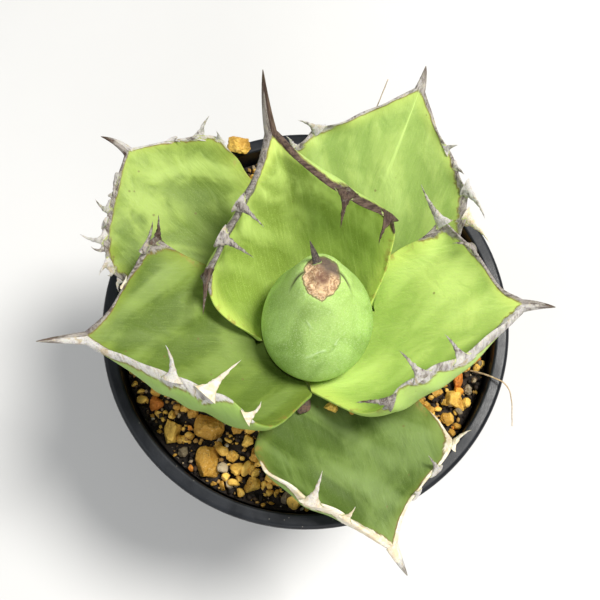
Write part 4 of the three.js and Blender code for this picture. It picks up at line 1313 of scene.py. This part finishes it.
STONE_LOOKS = {
    kind: grain_material(kind, *look)
    for kind, *look in (
        ("akadama", (0.5, 0.26, 0.03), (0.95, 0.6, 0.11), (1.0, 0.82, 0.42), 0.28),
        ("baked_clay", (0.55, 0.17, 0.015), (0.9, 0.36, 0.035), (0.95, 0.6, 0.18), 0.2),
        ("pumice", (0.22, 0.17, 0.1), (0.46, 0.37, 0.23), (0.66, 0.58, 0.42), 0.5),
    )
}
stones = []
dice = np.random.default_rng(11)
for node in sorted(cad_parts):
    if node.startswith("stone"):
        kind = next((kind for kind in STONE_LOOKS if kind in node), "akadama")
        stone = stone_object(node.replace("stone", "grain"), node, dice)
        stones.append(give(stone, STONE_LOOKS[kind], kind, node))

GRIT_SINK = 0.35  # share of a grain that lies in the soil
tree = covers()
for name, count, sizes, detail, seed, kind in (
    ("ochre_grit", 1000, (2.4, 5.8), 3, 21, "akadama"),
    ("ochre_fines", 1300, (1.3, 2.9), 2, 25, "akadama"),
    ("pumice_grit", 150, (1.5, 4.0), 3, 22, "pumice"),
    ("orange_grit", 190, (1.7, 4.6), 3, 23, "baked_clay"),
):
    give(scatter(name, count, sizes, detail, seed, GRIT_SINK, tree), STONE_LOOKS[kind], kind)
give(scatter("soil_crumbs", 9000, (0.5, 2.0), 1, 24, 0.3, tree), fines_material(), "soil")

STRAWS = {
    "straw_right": [(-17, -5, -4.5), (-18, -1, 0.2), (-19.5, 4.5, 2.4), (-22, 8, -1), (-27, 12, -7)],
    "straw_back": [(71, -4, -4), (71.3, 1, 3), (71, 6.5, 12), (69.8, 12.4, 25)],
}
straw_fibre = fibre_material("straw_fibre", (0.36, 0.24, 0.12), (0.68, 0.54, 0.34))
for node, stations in STRAWS.items():
    give(straw_object("dry_" + node, stations), straw_fibre, "straw", node)
bark = fibre_material("bark", (0.03, 0.018, 0.012), (0.14, 0.08, 0.045))
give(chip_object(dice), bark, "dead_wood", "wood_chip")


# ---------------------------------------------------------------- floor, lights and camera
def floor_object():
    size, rings, sides = 1500.0, 12, 64
    radii = np.linspace(size, 10, rings)
    grid = lathe_points([(radius, -0.05) for radius in radii], sides)
    points = grid.reshape(-1, 3)
    faces = [
        [i * sides + j, i * sides + (j + 1) % sides, (i + 1) * sides + (j + 1) % sides, (i + 1) * sides + j]
        for i in range(rings - 1)
        for j in range(sides)
    ]
    faces.append([(rings - 1) * sides + j for j in range(sides)])
    return mesh_object("floor", points, faces)


def area_light(name, place, target, size, power, colour):
    data = bpy.data.lights.new(name, "AREA")
    data.shape = "DISK"
    data.size = size
    data.energy = power
    data.color = colour
    lamp = bpy.data.objects.new(name, data)
    lamp.location = place
    lamp.rotation_euler = (Vector(target) - Vector(place)).to_track_quat("-Z", "Y").to_euler()
    bpy.context.scene.collection.objects.link(lamp)


def studio():
    floor = floor_object()
    floor.data.materials.append(floor_material())
    middle = (0, 0, RIM_HEIGHT * MM)
    area_light("key", (0.42, 0.15, 1.0), middle, 0.3, 14.5, (1.0, 0.985, 0.95))
    area_light("fill", (-0.7, -0.3, 0.8), middle, 0.9, 3, (0.95, 0.98, 1.0))
    area_light("front", (0.15, -0.9, 0.6), middle, 0.8, 4, (1.0, 0.99, 0.97))
    world = bpy.data.worlds.new("studio")
    world.use_nodes = True
    world.node_tree.nodes["Background"].inputs["Color"].default_value = (0.94, 0.97, 1.0, 1)
    world.node_tree.nodes["Background"].inputs["Strength"].default_value = 0.34
    bpy.context.scene.world = world
    bpy.context.scene.view_settings.view_transform = "Standard"


CAMERA_RISE = 74.3  # degrees above the horizon
CAMERA_DISTANCE = 244.0
CAMERA_AIM = (-1.6, 5.5, RIM_HEIGHT)
CAMERA_FIELD = 40.0  # degrees


def camera():
    data = bpy.data.cameras.new("camera")
    data.sensor_fit = "HORIZONTAL"
    data.angle = math.radians(CAMERA_FIELD)
    data.clip_start = 0.01
    data.clip_end = 20
    rise = math.radians(CAMERA_RISE)
    place = np.array(CAMERA_AIM) + CAMERA_DISTANCE * np.array([0, -math.cos(rise), math.sin(rise)])
    viewer = bpy.data.objects.new("camera", data)
    viewer.location = place * MM
    viewer.rotation_euler = (math.radians(90) - rise, 0, 0)
    bpy.context.scene.collection.objects.link(viewer)
    bpy.context.scene.camera = viewer


studio()
camera()
